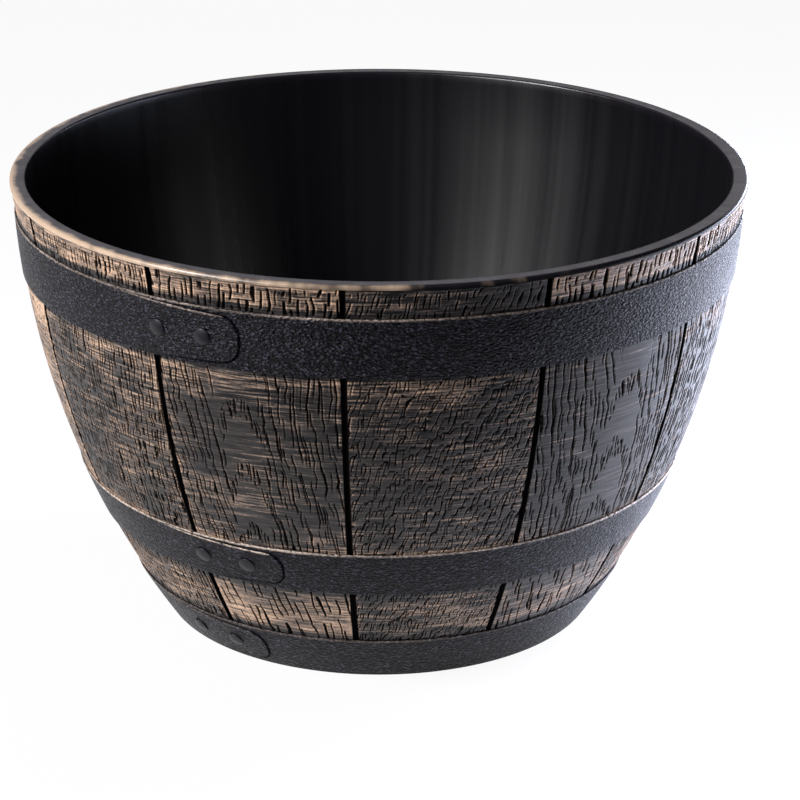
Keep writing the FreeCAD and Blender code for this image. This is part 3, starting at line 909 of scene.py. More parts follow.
@dataclass
class StaveRow:
    """The twelve bowed staves round the liner, in millimetres."""

    wall: BowedWall
    finish: BrushedStavePaint = field(default_factory=BrushedStavePaint)
    count: int = 12
    groove_angle: float = -4.6
    groove_width: float = 2.0
    joint_gap: float = 0.2
    edge_radius: float = 0.55
    edge_shade: float = 0.55
    wave_height: float = 0.16
    wave_size: tuple[float, float] = (11.0, 40.0)
    columns: int = 250
    edge_columns: tuple[float, ...] = (0.0, 0.1, 0.22, 0.36)
    edge_step: float = 1.6
    back_columns: int = 9
    row_pitch: float = 0.62
    hidden_pitch: float = 5.0
    hoop_cover: float = 1.5
    fade_outside: float = 0.6
    fade_inside: float = 0.3
    ragged_end: float = 2.2
    ragged_size: tuple[float, float] = (3.0, 9.0)
    lip_fade: tuple[float, float] = (-0.3, 1.0)
    pit_depths: tuple[float, float] = (0.06, 0.3)
    flank_depths: tuple[float, float] = (0.2, 0.5)
    flank_columns: int = 2
    flank_paint: float = 0.3
    edge_paint: float = 0.2
    edge_paint_reach: tuple[float, float] = (4.0, 1.0)
    patchiness: float = 0.35
    patch_size: tuple[float, float] = (17.0, 9.0)
    cloud_size: tuple[float, float] = (34.0, 26.0)
    pattern_step: float = 37.0
    grains: dict[int, CarvedGrain] = field(default_factory=lambda: {
        1: CarvedGrain(Grain.TICKED, 101),
        2: CarvedGrain(Grain.CATHEDRAL, 202, 7.0, 122.0),
        3: CarvedGrain(Grain.FINE, 303),
        4: CarvedGrain(Grain.TICKED, 404),
        5: CarvedGrain(Grain.CATHEDRAL, 505, -3.0, 2.0),
        6: CarvedGrain(Grain.FINE, 606),
        7: CarvedGrain(Grain.TICKED, 707),
        8: CarvedGrain(Grain.CATHEDRAL, 808, 5.0, 15.0),
        9: CarvedGrain(Grain.FINE, 909),
        10: CarvedGrain(Grain.TICKED, 1010),
        11: CarvedGrain(Grain.FINE, 1111),
        12: CarvedGrain(Grain.CATHEDRAL, 1212, -5.0, 121.0),
    })
    # Paint on the foot, main and rim bands of each stave. The rims of staves 2 and 3 carry extra bronze as
    # painted sheen.
    brushed: dict[int, tuple[float, float, float]] = field(default_factory=lambda: {
        1: (0.14, -0.05, -0.16), 2: (0.32, -0.22, 0.72), 3: (0.25, -0.2, 0.6), 4: (0.25, 0.0, 0.3),
        5: (0.2, -0.05, 0.3), 6: (0.2, 0.0, 0.4), 7: (0.25, -0.05, 0.3), 8: (0.2, 0.0, 0.35),
        9: (0.25, 0.05, 0.4), 10: (0.3, 0.42, 0.5), 11: (0.28, 0.05, 0.53), 12: (0.42, -0.03, 0.43)})

    @property
    def half_turn(self) -> float:
        """Half the angle from one joint to the next."""
        return math.pi / self.count

    def half_angle(self, radius: np.ndarray, gap: float) -> np.ndarray:
        """Return half the angle that a stave takes up at a radius, beside a gap to its neighbour."""
        return self.half_turn - np.arcsin(gap / 2.0 / radius)

    def rows(self) -> np.ndarray:
        """Space the rows: close together in the open, far apart under the hoops.

        Returns:
            Heights of the rows.
        """
        top = self.wall.lip_underside
        marks = [0.0]
        for band in Band:
            low, high = band.value
            marks += [low - self.hoop_cover, min(high + self.hoop_cover, top)]
        pieces = []
        for number, (start, end) in enumerate(zip(marks, marks[1:])):
            pitch = self.row_pitch if number % 2 else self.hidden_pitch
            steps = max(1, round((end - start) / pitch))
            pieces.append(np.linspace(start, end, steps, endpoint=False))
        return np.append(np.concatenate(pieces), top)

    def column_shares(self, half_width: float) -> np.ndarray:
        """Space the columns across the face, close together at its rounded edges.

        Args:
            half_width: half the width of the face.

        Returns:
            Places of the columns, from -1 to 1.
        """
        near_edge = np.array(self.edge_columns) / half_width
        end = 1.0 - near_edge[-1] * self.edge_step
        inner = np.linspace(-end, end, self.columns)
        return np.concatenate([near_edge - 1.0, inner, 1.0 - near_edge[::-1]])

    def carve(self, grain: CarvedGrain, across: np.ndarray, heights: np.ndarray,
              spread: np.ndarray) -> np.ndarray:
        """Carve the open bands of one stave, fading out under the hoops and just below the lip.

        Args:
            grain: the stave's grain.
            across: grid of places across the stave, on its reference width.
            heights: heights of the rows.
            spread: true width over reference width, by row.

        Returns:
            Depth of the grain at each place of the grid.
        """
        depth = np.zeros(across.shape)
        along = self.wall.along(self.wall.stave_face, heights)
        ragged = self.ragged_end * SoftField(grain.seed + 31, *self.ragged_size).at(across, along[:, None])
        below_lip = smooth_step(*self.lip_fade, self.wall.lip_underside - heights[:, None] - ragged)
        for band in Band:
            low, high = band.value
            rows = (heights > low - self.hoop_cover) & (heights < high + self.hoop_cover)
            shown = smooth_step(low - self.fade_outside, low + self.fade_inside, heights[rows])
            if band is not Band.RIM:
                shown = shown * smooth_step(high + self.fade_outside, high - self.fade_inside, heights[rows])
            cut = grain.carve(band, across[rows], along[rows], spread[rows])
            depth[rows] = cut * shown[:, None]
        return depth * below_lip

    def paint(self, number: int, across: np.ndarray, heights: np.ndarray) -> np.ndarray:
        """Work out how much bronze the brush left.

        Args:
            number: number of the stave.
            across: grid of places across the stave, on its reference width.
            heights: heights of the rows.

        Returns:
            Share of paint at each place; below 0 the brush hardly touched.
        """
        foot, main, rim = self.brushed[number]
        # Height and paint: none under hoops, less near them on the foot band, more at the main band's ends,
        # and a dark strip just under the top hoop as painted shadow.
        levels = [(0, -1.0), (24, -0.5), (28, foot), (45, foot), (50, foot - 0.25), (52.6, -0.8),
                  (75, main + 0.6), (77, main + 0.15), (82, main), (145, main), (154, main + 0.1),
                  (161, main + 0.4), (163.6, -0.4), (190.1, -1.0), (191.7, -0.4), (194, rim), (203, rim)]
        base = np.interp(heights, *zip(*levels))[:, None]
        seed = SEED + 7 * number
        patches = SoftField(seed, *self.patch_size).swing(across, heights[:, None])
        clouds = SoftField(seed + 1, *self.cloud_size).swing(across, heights[:, None])
        inset = self.grains[number].reference_half_width - np.abs(across)
        edge = smooth_step(*self.edge_paint_reach, inset)
        return base + self.patchiness * patches + self.patchiness * clouds + self.edge_paint * edge

    def hidden_loops(self, middle: float, heights: np.ndarray) -> np.ndarray:
        """Follow the rebated sides and the plain back, from the face's right edge round to its left.

        Args:
            middle: angle of the stave's middle.
            heights: heights of the rows.

        Returns:
            Points, as rows by points by three.
        """
        floor_radius = self.wall.radius(self.wall.groove_floor, heights)
        back_radius = self.wall.radius(self.wall.stave_back, heights)
        at_face = self.half_angle(floor_radius, self.groove_width)
        at_joint = self.half_angle(floor_radius, self.joint_gap)
        at_back = self.half_angle(back_radius, self.joint_gap)
        stops = [(floor_radius, at_face), (floor_radius, at_joint)]
        stops += [(back_radius, share * at_back) for share in np.linspace(1.0, -1.0, self.back_columns)]
        stops += [(floor_radius, -at_joint), (floor_radius, -at_face)]
        return np.stack([around(radius, middle + turn, heights) for radius, turn in stops], axis=1)

    def build(self, number: int) -> bpy.types.Object:
        """Build one stave with its carved face, rebated sides and plain back.

        Args:
            number: number of the stave, counted from the front groove towards +X.

        Returns:
            The new piece, with what its material reads.
        """
        wall = self.wall
        grain = self.grains[number]
        heights = self.rows()
        along = wall.along(wall.stave_face, heights)
        middle = FRONT + math.radians(self.groove_angle) + (2 * number - 1) * self.half_turn
        face_radius, out, up = (part[:, None] for part in wall.stave_section(heights))
        half_face = self.half_angle(face_radius, self.groove_width)
        half_width = face_radius * half_face
        share = self.column_shares(float(half_width.mean()))
        across = np.broadcast_to(share * grain.reference_half_width, (len(heights), len(share)))
        depth = self.carve(grain, across, heights, half_width[:, 0] / grain.reference_half_width)
        waves = SoftField(grain.seed + 21, *self.wave_size).swing(across, along[:, None])
        inset = half_width * (1.0 - np.abs(share))
        # The waves and the grain only cut in, so the face stays inside the hoops.
        uneven = self.wave_height * waves - 0.5 * self.wave_height
        relief = uneven - depth - edge_fall(self.edge_radius, inset)
        level = np.clip(heights[:, None] + relief * up, 0.0, wall.lip_underside)
        level[0], level[-1] = 0.0, wall.lip_underside
        front = around(face_radius + relief * out, middle + share * half_face, level)
        hidden = self.hidden_loops(middle, heights)
        loops = np.concatenate([front, hidden], axis=1)
        piece = skin_loops(f"carved_stave_{number:02d}", loops, ring=False)
        # The brush misses the pits and leaves most paint on the flanks of a cut; the rounded edges by the
        # grooves are darkened as painted shade.
        painted_edge_shade = smooth_step(self.edge_shade, 0.5 * self.edge_shade, inset)
        pits = np.maximum(smooth_step(*self.pit_depths, depth), painted_edge_shade)
        beside = [np.roll(depth, step, axis=1) for step in (self.flank_columns, -self.flank_columns)]
        flank = smooth_step(*self.flank_depths, np.maximum(*beside) - depth)
        paint = self.paint(number, across, heights) + self.flank_paint * flank
        place = np.zeros(loops.shape)
        place[:, :len(share), 0] = half_width * share
        place[:, :, 1] = along[:, None]
        place[:, :, 2] = self.pattern_step * number
        unseen = ((0, 0), (0, hidden.shape[1]))
        store(piece, "grain", np.pad(pits, unseen, constant_values=1.0))
        store(piece, "paint", np.pad(paint, unseen))
        store(piece, "place", place.reshape(-1, 3))
        return piece

    def dress(self) -> None:
        """Build every stave and give it the brushed finish."""
        material = self.finish.make()
        for number in range(1, self.count + 1):
            seat(self.build(number), f"stave_{number:02d}", material)


@dataclass
class RivetedHoop:
    """One hoop with its lapped end and two rivets, in millimetres."""

    wall: BowedWall
    name: str
    low: float
    high: float
    rivets_angle: float
    edge_paint: float
    edge_radius: float = 0.35
    lap_start_rise: float = 0.15
    lap_tip_rise: float = 0.5
    lap_start_inset: float = 0.8
    lap_tip_inset: float = 2.9
    lap_corner_share: float = 0.42
    lap_edge: float = 0.16
    lap_blend: float = 4.0
    rivet_pitch: float = 22.0
    rivet_margin: float = 16.4
    head_radius: float = 3.7
    head_height: float = 1.1
    head_brim: float = 0.35
    head_bulge: float = 0.02
    head_rings: int = 12
    head_sections: int = 48
    crown_start: float = 0.04
    shank_radius: float = 2.0
    shank_reach: float = 1.0
    wave_size: tuple[float, float] = (24.0, 9.0)
    wave_height: float = 0.1
    brush_size: tuple[float, float] = (30.0, 50.0)
    brushed_edge: tuple[float, float] = (1.0, 0.3)
    brushed_lap: tuple[float, float] = (0.7, 0.2)
    least_lap: float = 0.1
    least_paint: float = 0.1
    crease_inner: tuple[float, float] = (-0.2, 0.1)
    crease_outer: tuple[float, float] = (1.3, 0.5)
    crease_start: tuple[float, float] = (-20.0, 10.0)
    least_brushed: float = 0.4
    brush_range: float = 1.2
    edge_rows: tuple[float, ...] = (0.0, 0.08, 0.3, 0.6, 1.0)
    between_rows: tuple[float, ...] = (0.33, 0.67)
    lap_edge_rows: tuple[float, ...] = (-1.6, -1.0, -0.5, 0.0, 0.5, 1.0, 1.6)
    row_count: int = 26
    back_rows: int = 6
    column_pitch: float = 1.7
    lap_column_pitch: float = 0.35
    lap_margin: float = 1.0
    seed: int = SEED

    @property
    def middle(self) -> float:
        """Height of the rivets."""
        return (self.low + self.high) / 2.0

    @property
    def middle_radius(self) -> float:
        """Distance of the hoop's face from the pot's axis at the rivets."""
        return float(self.wall.radius(self.wall.hoop_bend, self.middle))

    @property
    def lap_length(self) -> float:
        """Length of the lapped end."""
        return self.rivet_pitch + 2.0 * self.rivet_margin

    @property
    def lap_middle(self) -> float:
        """Angle from +X of the lap's middle."""
        return FRONT + math.radians(self.rivets_angle)

    @property
    def tip_corner(self) -> float:
        """Radius of the lap's two tip corners."""
        return (self.high - self.low - 2.0 * self.lap_tip_inset) * self.lap_corner_share

    @property
    def girth(self) -> float:
        """Length round the hoop's face at the rivets."""
        return math.tau * self.middle_radius

    def rise(self, arc: np.ndarray | float) -> np.ndarray:
        """Return how far the lap stands out, by length along the hoop from the lap's middle."""
        share = np.asarray(arc) / self.lap_length + 0.5
        return self.lap_start_rise + (self.lap_tip_rise - self.lap_start_rise) * share

    def lap_inset(self, arc: np.ndarray) -> np.ndarray:
        """Return how far the lap's edges lie inside the hoop's, by length along the hoop."""
        share = np.clip((arc + self.lap_length / 2.0) / (self.lap_length - self.tip_corner), 0.0, 1.0)
        return self.lap_start_inset + (self.lap_tip_inset - self.lap_start_inset) * share

    def off_lap(self, arc: np.ndarray, heights: np.ndarray) -> np.ndarray:
        """Measure how far places lie outside the lap's edges and round tip.

        Args:
            arc: lengths along the hoop from the lap's middle.
            heights: heights on the hoop's face.

        Returns:
            Distance at each place; below 0 it lies on the lap.
        """
        corner = self.tip_corner
        half = (self.high - self.low) / 2.0 - self.lap_inset(arc)
        beyond = np.maximum(arc - self.lap_length / 2.0 + corner, 0.0)
        above = np.maximum(np.abs(heights - self.middle) - (half - corner), 0.0)
        return np.hypot(beyond, above) - corner

    def lap_share(self, arc: np.ndarray, heights: np.ndarray) -> np.ndarray:
        """Return 1 on the lap, 0 off it and a steep edge between.

        Args:
            arc: lengths along the hoop from the lap's middle.
            heights: heights on the hoop's face.

        Returns:
            Share of the lap at each place.
        """
        started = smooth_step(-self.lap_blend, self.lap_blend, arc + self.lap_length / 2.0)
        return started * smooth_step(self.lap_edge, -self.lap_edge, self.off_lap(arc, heights))

    def ring_field(self, number: int, cell_across: float, cell_along: float) -> SoftField:
        """Return a soft field that closes on itself round the hoop."""
        cells = round(self.girth / cell_across)
        return SoftField(self.seed + number, self.girth / cells, cell_along, cells)

    def columns(self) -> np.ndarray:
        """Space the columns round the hoop, close together on the lap.

        Returns:
            Lengths along the hoop from the lap's middle.
        """
        reach = self.lap_length / 2.0 + self.lap_blend + self.lap_margin
        close = np.linspace(-reach, reach, int(2.0 * reach / self.lap_column_pitch))
        rest = self.girth - 2.0 * reach
        far = np.linspace(reach, self.girth - reach, int(rest / self.column_pitch))
        return np.concatenate([close, far[1:-1]])

    def face_rows(self, arc: np.ndarray) -> np.ndarray:
        """Return the heights of the rows on the hoop's face, close together at its edges and the lap's.

        Args:
            arc: lengths along the hoop, one per column.

        Returns:
            Heights, by column and row.
        """
        edge = self.edge_radius * np.array(self.edge_rows)
        close = self.lap_edge * np.array(self.lap_edge_rows)
        inset = self.lap_inset(arc)[:, None]
        fixed = np.broadcast_to(edge, (len(arc), len(edge)))
        room = inset + close[0] - self.edge_radius
        between = self.edge_radius + room * np.array(self.between_rows)
        share = np.linspace(0.0, 1.0, self.row_count, endpoint=False)[1:]
        last = inset + close[-1]
        inner = last + ((self.high - self.low) / 2.0 - last) * share
        half = np.concatenate([fixed, between, inset + close, inner], axis=1)
        return np.concatenate([self.low + half, self.high - half[:, ::-1]], axis=1)

    def paint(self, arc: np.ndarray, rows: np.ndarray, lap: np.ndarray) -> np.ndarray:
        """Work out where the brush caught upper edges, in bronze that on the top hoop also stands for a
        painted highlight, and where painted shade darkens the crease beside the lap.

        Args:
            arc: lengths along the hoop from the lap's middle.
            rows: heights on the hoop's face, by column and row.
            lap: share of the lap at each place.

        Returns:
            Paint at each place, below 0 in the crease.
        """
        upper = smooth_step(*self.brushed_edge, self.high - rows)
        off_edge = np.abs(self.high - self.lap_inset(arc) - rows)
        lap_upper = smooth_step(*self.brushed_lap, off_edge) * (lap > self.least_lap)
        brushed = self.ring_field(5, *self.brush_size).at(arc, rows)
        caught = self.least_brushed + self.brush_range * brushed
        paint = np.maximum(upper, lap_upper) * self.edge_paint * caught
        # Painted shade: a dark band just outside the lap's edge, where its step would shade the hoop.
        off = self.off_lap(arc, rows)
        crease = smooth_step(*self.crease_inner, off) * smooth_step(*self.crease_outer, off)
        crease = crease * smooth_step(*self.crease_start, arc)
        return np.where(paint > self.least_paint, paint, paint - crease)

    def build(self) -> bpy.types.Object:
        """Build the strip with its lap, worn edges and slight waves, as one closed ring.

        Returns:
            The new piece, with what its material reads.
        """
        wall = self.wall
        arc = self.columns()
        rows = self.face_rows(arc)
        arc = arc[:, None]
        angle = self.lap_middle + arc / self.middle_radius
        lap = self.lap_share(arc, rows)
        inset = np.clip(np.minimum(rows - self.low, self.high - rows), 0.0, self.edge_radius)
        waves = self.ring_field(3, *self.wave_size).swing(arc, rows)
        uneven = self.wave_height * waves * (inset / self.edge_radius)
        out, up = wall.facing(wall.hoop_bend, rows)
        stand = lap * self.rise(arc) * out - edge_fall(self.edge_radius, inset) + uneven
        stand = stand - 0.5 * self.wave_height
        level = np.maximum(rows + stand * up, 0.0)
        face = around(wall.radius(wall.hoop_bend, rows) + stand * out, angle, level)
        behind = np.linspace(self.high, self.low, self.back_rows)[None, :]
        axis_height = wall.bend_axis[1]
        back_level = axis_height + (behind - axis_height) * (wall.hoop_back / wall.hoop_bend)
        back_level = np.maximum(back_level, 0.0)
        back = around(wall.radius(wall.hoop_back, back_level), angle, back_level)
        loops = np.concatenate([face, back], axis=1)
        piece = skin_loops(f"{self.name}_strip", loops, ring=True)
        store(piece, "paint", np.pad(self.paint(arc, rows, lap), ((0, 0), (0, self.back_rows))))
        store(piece, "place", loops.reshape(-1, 3))
        return piece

    def rivet_profile(self) -> list[tuple[float, float]]:
        """Work out a rivet's section, from its crown over the brim to the shank behind the head.

        Returns:
            Distance from the rivet's axis and height above the lap, of each point.
        """
        dome = self.head_height - self.head_brim
        sphere = (self.head_radius ** 2 + dome ** 2) / (2.0 * dome)
        reach = np.linspace(self.crown_start, 1.0, self.head_rings) * self.head_radius
        crown = self.head_height - sphere + np.sqrt(sphere ** 2 - reach ** 2)
        brim = [(self.head_radius + self.head_bulge, self.head_brim * 0.5), (self.head_radius, 0.0)]
        shank = [(self.shank_radius, 0.0), (self.shank_radius, -self.shank_reach)]
        return list(zip(reach, crown)) + brim + shank

    def build_rivets(self) -> bpy.types.Object:
        """Build the two domed rivets, seated on the lap, with their shanks behind.

        Returns:
            Both rivets as one piece, with what its material reads.
        """
        profile = self.rivet_profile()
        spin = even_turns(self.head_sections)[:, None]
        crown = [max(0.0, tall / self.head_height) for _, tall in profile]
        out, up = (float(part) for part in self.wall.facing(self.wall.hoop_bend, self.middle))
        pieces = []
        for number, length in enumerate((-self.rivet_pitch / 2.0, self.rivet_pitch / 2.0)):
            angle = self.lap_middle + length / self.middle_radius
            axis = np.array([out * math.cos(angle), out * math.sin(angle), up])
            side = np.array([-math.sin(angle), math.cos(angle), 0.0])
            around_axis = np.cos(spin) * side + np.sin(spin) * np.cross(axis, side)
            centre = around(self.middle_radius, angle, self.middle) + axis * (float(self.rise(length)) * out)
            loops = np.stack([centre + axis * tall + wide * around_axis for wide, tall in profile])
            piece = skin_loops(f"{self.name}_rivet_{number}", loops, ring=False)
            store(piece, "crown", np.repeat(crown, self.head_sections))
            pieces.append(piece)
        with bpy.context.temp_override(active_object=pieces[0], selected_editable_objects=pieces):
            bpy.ops.object.join()
        pieces[0].name = f"{self.name}_rivet_heads"
        return pieces[0]

    def dress(self, hoop_finish: bpy.types.Material, rivet_finish: bpy.types.Material) -> None:
        """Build the hoop and its rivets and give them their finishes."""
        seat(self.build(), self.name, hoop_finish)
        seat(self.build_rivets(), f"{self.name}_rivets", rivet_finish)


@dataclass
class InnerPot:
    """The liner: lip, smooth wall, rounded floor corner, drain holes and foot ring, in millimetres."""

    wall: BowedWall
    finish: DrawnLinerPlastic = field(default_factory=DrawnLinerPlastic)
    sections: int = 288
    lip_edge_radius: float = 1.4
    lip_points: int = 12
    mouth_edge_radius: float = 0.9
    mouth_start: float = 0.15
    mouth_points: int = 6
    corner_radius: float = 5.0
    corner_points: int = 9
    wall_points: int = 64
    outer_points: int = 24
    floor_top: float = 7.0
    foot_recess: float = 4.0
    foot_width: float = 6.0
    hole_radius: float = 4.5
    hole_ring_radius: float = 60.0
    hole_count: int = 6
    hole_points: int = 36
    touch: float = 0.001
    crease_angle: float = 40.0
    draw_start: float = 80.0
    lip_paint: float = 0.4
    lip_paint_leftward: float = 0.4
    lip_paint_patches: float = 0.14
    lip_patch_count: int = 48
    lip_patch_height: float = 50.0
    painted_depths: tuple[float, float] = (2.8, 0.8)
    lip_depths: tuple[float, float] = (1.2, 0.4)

    def profile(self) -> np.ndarray:
        """Work out the section, from the floor's edge up over the lip to the foot.

        Returns:
            Radius and height of each point.
        """
        wall = self.wall
        rim, top, under = wall.rim_radius, wall.height, wall.lip_underside
        corner, mouth, edge = self.corner_radius, self.mouth_edge_radius, self.lip_edge_radius
        quarter = math.pi / 2.0
        corner_bend = wall.liner_inside - corner
        corner_height = self.floor_top + corner
        corner_centre = (float(wall.radius(corner_bend, corner_height)), corner_height)
        lean = math.asin(float(wall.facing(corner_bend, corner_height)[1]))
        points = arc_points(corner_centre, corner, -quarter, lean, self.corner_points)
        heights = np.linspace(points[-1][1], top - mouth, self.wall_points)[1:]
        points += zip(wall.radius(wall.liner_inside, heights), heights)
        mouth_centre = (float(wall.radius(wall.liner_inside, top)) + mouth, top - mouth)
        points += arc_points(mouth_centre, mouth, math.pi - self.mouth_start, quarter, self.mouth_points)
        points += arc_points((rim - edge, top - edge), edge, quarter, 0.0, self.lip_points)
        points.append((rim, under))
        heights = np.linspace(under, 0.0, self.outer_points)
        points += zip(wall.radius(wall.liner_face, heights), heights)
        foot_inner = float(wall.radius(wall.liner_face, 0.0)) - self.foot_width
        points += [(foot_inner, 0.0), (foot_inner, self.foot_recess)]
        return np.array(points)

    def hole_rims(self) -> list[np.ndarray]:
        """Lay out the drain holes: one in the middle and a ring of them round it.

        Returns:
            Points round each hole, as x and y.
        """
        spin = even_turns(self.hole_points)
        rim = self.hole_radius * np.stack([np.cos(spin), np.sin(spin)], axis=-1)
        turns = even_turns(self.hole_count)
        ring = self.hole_ring_radius * np.stack([np.cos(turns), np.sin(turns)], axis=-1)
        return [rim] + [centre + rim for centre in ring]

    def plug_ends(self, mesh: bpy.types.Mesh, ends: list[tuple[float, float]]) -> None:
        """Close the floor's two faces, leaving the drain holes open between them.

        Args:
            mesh: turned wall, open at the floor.
            ends: radius and height of the two open rims.
        """
        touch = self.touch * MM
        work = bmesh.new()
        work.from_mesh(mesh)
        rims = []
        for radius, height in ends:
            edges = [edge for edge in work.edges if edge.is_boundary
                     and all(abs(v.co.z - height * MM) < touch for v in edge.verts)
                     and abs(edge.verts[0].co.xy.length - radius * MM) < touch]
            holes = []
            for hole in self.hole_rims():
                ring = [work.verts.new((x * MM, y * MM, height * MM)) for x, y in hole]
                edges += [work.edges.new(pair) for pair in zip(ring, ring[1:] + ring[:1])]
                holes.append(ring)
            bmesh.ops.triangle_fill(work, use_beauty=True, use_dissolve=False, edges=edges)
            rims.append(holes)
        for upper, lower in zip(*rims):
            pairs = list(zip(upper, lower))
            for (high, low), (next_high, next_low) in zip(pairs, pairs[1:] + pairs[:1]):
                work.faces.new((high, next_high, next_low, low))
        bmesh.ops.recalc_face_normals(work, faces=work.faces)
        work.to_mesh(mesh)
        work.free()

    def build(self) -> bpy.types.Object:
        """Turn the section about the pot's axis and close the drained floor.

        Returns:
            The new piece, with what its material reads.
        """
        profile = self.profile()
        radius, height = profile[:, 0], profile[:, 1]
        loops = around(radius[:, None], even_turns(self.sections)[None, :], height[:, None])
        mesh = bpy.data.meshes.new("drained_liner")
        faces = loop_faces(len(profile), self.sections, ring=False)
        mesh.from_pydata((loops.reshape(-1, 3) * MM).tolist(), [], faces)
        self.plug_ends(mesh, [tuple(profile[0]), tuple(profile[-1])])
        mesh.shade_smooth()
        mesh.set_sharp_from_angle(angle=math.radians(self.crease_angle))
        piece = place_in_scene("drained_liner", mesh)
        places = np.array([vertex.co for vertex in mesh.vertices]) / MM
        x, y, z = places.T
        radius = np.hypot(x, y)
        rim, top = self.wall.rim_radius, self.wall.height
        # The brush reached the lip's side alone; the extra bronze towards the left, where the key light
        # falls, is painted light.
        reached = smooth_step(*(rim - depth for depth in self.painted_depths), radius)
        cell = math.tau / self.lip_patch_count
        field_round = SoftField(SEED + 90, cell, self.lip_patch_height, self.lip_patch_count)
        patches = field_round.at(np.arctan2(y, x), z)
        towards_key_light = -x / np.maximum(radius, 1.0)
        paint = self.lip_paint + self.lip_paint_leftward * towards_key_light + self.lip_paint_patches * patches
        store(piece, "paint", reached * paint)
        store(piece, "lip", smooth_step(*(top - depth for depth in self.lip_depths), z))
        # Places are drawn out to the rim's radius, so that the draw lines run straight up the wall.
        upright = rim / np.maximum(radius, self.draw_start)
        store(piece, "place", np.stack([x * upright, y * upright, z], axis=-1))
        return piece

    def dress(self) -> None:
        """Build the liner and give it its satin finish."""
        seat(self.build(), "liner_pot", self.finish.make())


@dataclass(frozen=True)
class StudioPaper:
    """Seamless white paper: matt and even, with fibres sized in millimetres."""

    colour: str = "#f4f4f4"
    white_share: float = 0.92
    mirrored_share: float = 0.6
    fibre_size: float = 1.111
    fibre_relief: float = 0.1
    relief_strength: float = 0.05

    def make(self) -> bpy.types.Material:
        """Make the finish.

        Returns:
            The material.
        """
        # Under the lamps paper looks an even white. Most of that white is its own, and the rest carries
        # the pot's shadow. Real fibres are too fine to show, so they are drawn coarser.
        material, tree = new_material("white_backdrop_paper")
        path = add_node(tree, "ShaderNodeLightPath")
        seen = add_node(tree, "ShaderNodeMath", {0: path.outputs["Is Camera Ray"], 1: self.white_share},
                        operation="MULTIPLY")
        share = add_node(tree, "ShaderNodeMath", {
            0: path.outputs["Is Glossy Ray"], 1: self.mirrored_share, 2: seen.outputs[0]},
            operation="MULTIPLY_ADD")
        fibres = add_node(tree, "ShaderNodeTexNoise", {
            "Scale": 1.0 / (self.fibre_size * MM), "Detail": 2.0})
        bump = add_node(tree, "ShaderNodeBump", {
            "Strength": self.relief_strength, "Distance": self.fibre_relief * MM,
            "Height": fibres.outputs["Fac"]})
        paper = add_node(tree, "ShaderNodeBsdfDiffuse", {
            "Color": linear(self.colour), "Normal": bump.outputs[0]})
        white = add_node(tree, "ShaderNodeEmission", {"Color": linear("#ffffff"), "Strength": 1.0})
        mixed = add_node(tree, "ShaderNodeMixShader", {
            0: share.outputs[0], 1: paper.outputs[0], 2: white.outputs[0]})
        add_node(tree, "ShaderNodeOutputMaterial", {"Surface": mixed.outputs[0]})
        return material


@dataclass(frozen=True)
class SoftLamp:
    """One soft box: where it stands, what it looks at, its size in metres, power and colour."""

    name: str
    place: tuple[float, float, float]
    width: float
    height: float
    power: float
    colour: str
    aim: tuple[float, float, float] = (0.0, 0.0, 0.1)

    def build(self) -> None:
        """Hang the lamp."""
        data = bpy.data.lights.new(self.name, "AREA")
        data.shape = "RECTANGLE"
        data.size = self.width
        data.size_y = self.height
        data.energy = self.power
        data.color = linear(self.colour)[:3]
        lamp = place_in_scene(self.name, data)
        lamp.location = self.place
        look = Vector(self.aim) - Vector(self.place)
        lamp.rotation_euler = look.to_track_quat("-Z", "Y").to_euler()


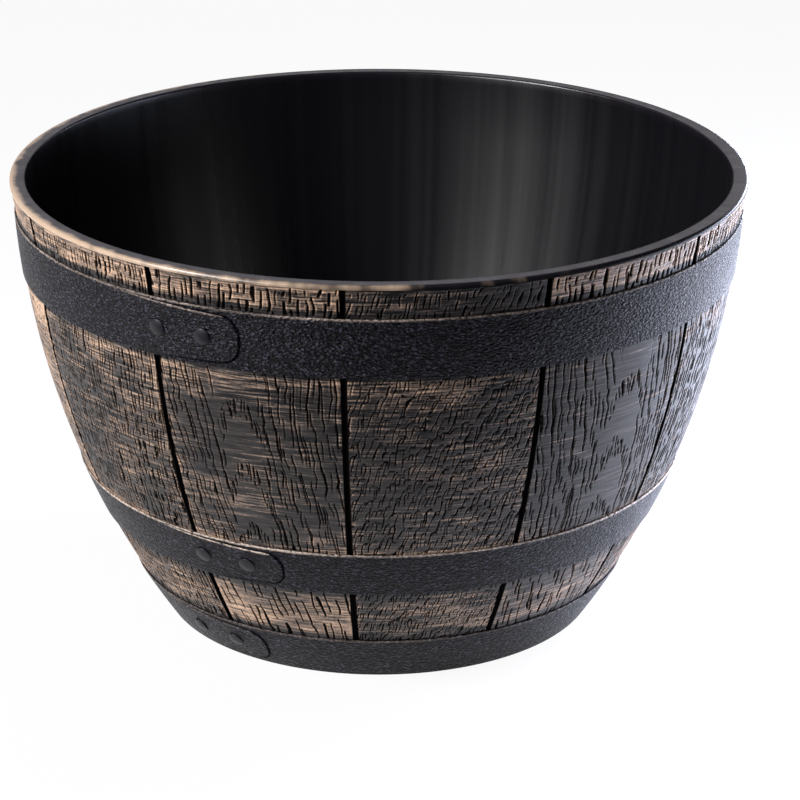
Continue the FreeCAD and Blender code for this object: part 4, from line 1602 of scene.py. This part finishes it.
@dataclass
class Studio:
    """White paper, soft boxes and the camera at the photograph's angle, in metres and degrees."""

    paper: StudioPaper = field(default_factory=StudioPaper)
    camera_place: tuple[float, float, float] = (0.01337, -1.3081, 0.6053)
    pitch: float = 21.4365
    yaw: float = -0.1685
    roll: float = 0.111
    focal_pixels: float = 3037.6
    picture_pixels: float = 800.0
    sensor: float = 36.0
    world_colour: str = "#e6e6ff"
    world_strength: float = 0.04
    paper_edges: tuple[float, float, float, float] = (-1.6, -0.26, 1.6, 1.5)
    paper_height: float = -0.0002
    # A large light at the left, a small one above it, a cool one low at the right, a wide weak one behind.
    lamps: tuple[SoftLamp, ...] = (
        SoftLamp("left_box", (-1.2, -0.95, 0.75), 1.0, 0.8, 22.5, "#fffdfc"),
        SoftLamp("high_box", (-1.0, -0.5, 1.0), 0.4, 0.35, 15.0, "#fbf9ff"),
        SoftLamp("right_box", (0.45, 0.2, 0.2), 0.36, 0.5, 20.0, "#dfe6ff", (0.44, 0.2, 0.0)),
        SoftLamp("back_box", (0.0, 2.4, 1.15), 3.5, 0.7, 6.5, "#f7f3f8"),
    )

    def build_floor(self) -> None:
        """Lay the sheet of paper on the floor."""
        left, front, right, back = self.paper_edges
        corners = [(left, front), (right, front), (right, back), (left, back)]
        mesh = bpy.data.meshes.new("backdrop_paper")
        mesh.from_pydata([(x, y, self.paper_height) for x, y in corners], [], [(0, 1, 2, 3)])
        mesh.materials.append(self.paper.make())
        floor = place_in_scene("backdrop_paper", mesh)

    def build_world(self) -> None:
        """Fill the room with even light, white where it is seen."""
        world = bpy.data.worlds.new("studio_room")
        world.use_nodes = True
        tree = world.node_tree
        tree.nodes.clear()
        path = add_node(tree, "ShaderNodeLightPath")
        level = add_node(tree, "ShaderNodeMapRange", {
            "Value": path.outputs["Is Camera Ray"], "To Min": self.world_strength, "To Max": 1.0})
        shade = add_node(tree, "ShaderNodeMix", {
            "Factor": path.outputs["Is Camera Ray"], 6: linear(self.world_colour), 7: linear("#ffffff")},
            data_type="RGBA")
        glow = add_node(tree, "ShaderNodeBackground", {
            "Color": shade.outputs[2], "Strength": level.outputs[0]})
        add_node(tree, "ShaderNodeOutputWorld", {"Surface": glow.outputs[0]})
        bpy.context.scene.world = world

    def build_camera(self) -> None:
        """Set the camera where the photograph was taken from."""
        pitch, yaw, roll = (math.radians(v) for v in (self.pitch, self.yaw, self.roll))
        ahead = Vector((math.sin(yaw), math.cos(yaw), 0.0))
        right = Vector((math.cos(yaw), -math.sin(yaw), 0.0))
        above = Vector((0.0, 0.0, 1.0))
        look = ahead * math.cos(pitch) - above * math.sin(pitch)
        up = ahead * math.sin(pitch) + above * math.cos(pitch)
        level = right * math.cos(roll) + up * math.sin(roll)
        upright = up * math.cos(roll) - right * math.sin(roll)
        data = bpy.data.cameras.new("photo_camera")
        data.sensor_width = self.sensor
        data.lens = self.sensor * self.focal_pixels / self.picture_pixels
        data.dof.use_dof = False
        camera = place_in_scene("photo_camera", data)
        turn = Matrix((level, upright, -look)).transposed().to_4x4()
        camera.matrix_world = Matrix.Translation(Vector(self.camera_place)) @ turn
        bpy.context.scene.camera = camera

    def build(self) -> None:
        """Set up paper, light and camera."""
        bpy.context.scene.view_settings.view_transform = "Standard"
        self.build_floor()
        self.build_world()
        for lamp in self.lamps:
            lamp.build()
        self.build_camera()


def write_sizes() -> None:
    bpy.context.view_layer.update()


def main() -> None:
    """Build the pot piece by piece, then the studio round it."""
    logging.basicConfig(level=logging.INFO)
    wall = BowedWall()
    StaveRow(wall).dress()
    hoop_finish = PebbledHoopPlastic().make()
    rivet_finish = GreyCrownRivetPlastic().make()
    hoops = (
        # The top hoop's edge paint also stands for a painted highlight along its upper edges.
        RivetedHoop(wall, "top_hoop", 163.6, 190.1, -29.7, 0.65, seed=SEED + 30),
        RivetedHoop(wall, "middle_hoop", 52.6, 75.0, -29.1, 1.3, seed=SEED + 31),
        RivetedHoop(wall, "base_hoop", 0.0, 23.1, -41.7, 0.25, seed=SEED + 32),
    )
    for hoop in hoops:
        hoop.dress(hoop_finish, rivet_finish)
    InnerPot(wall).dress()
    Studio().build()
    write_sizes()


if __name__ == "__main__":
    main()
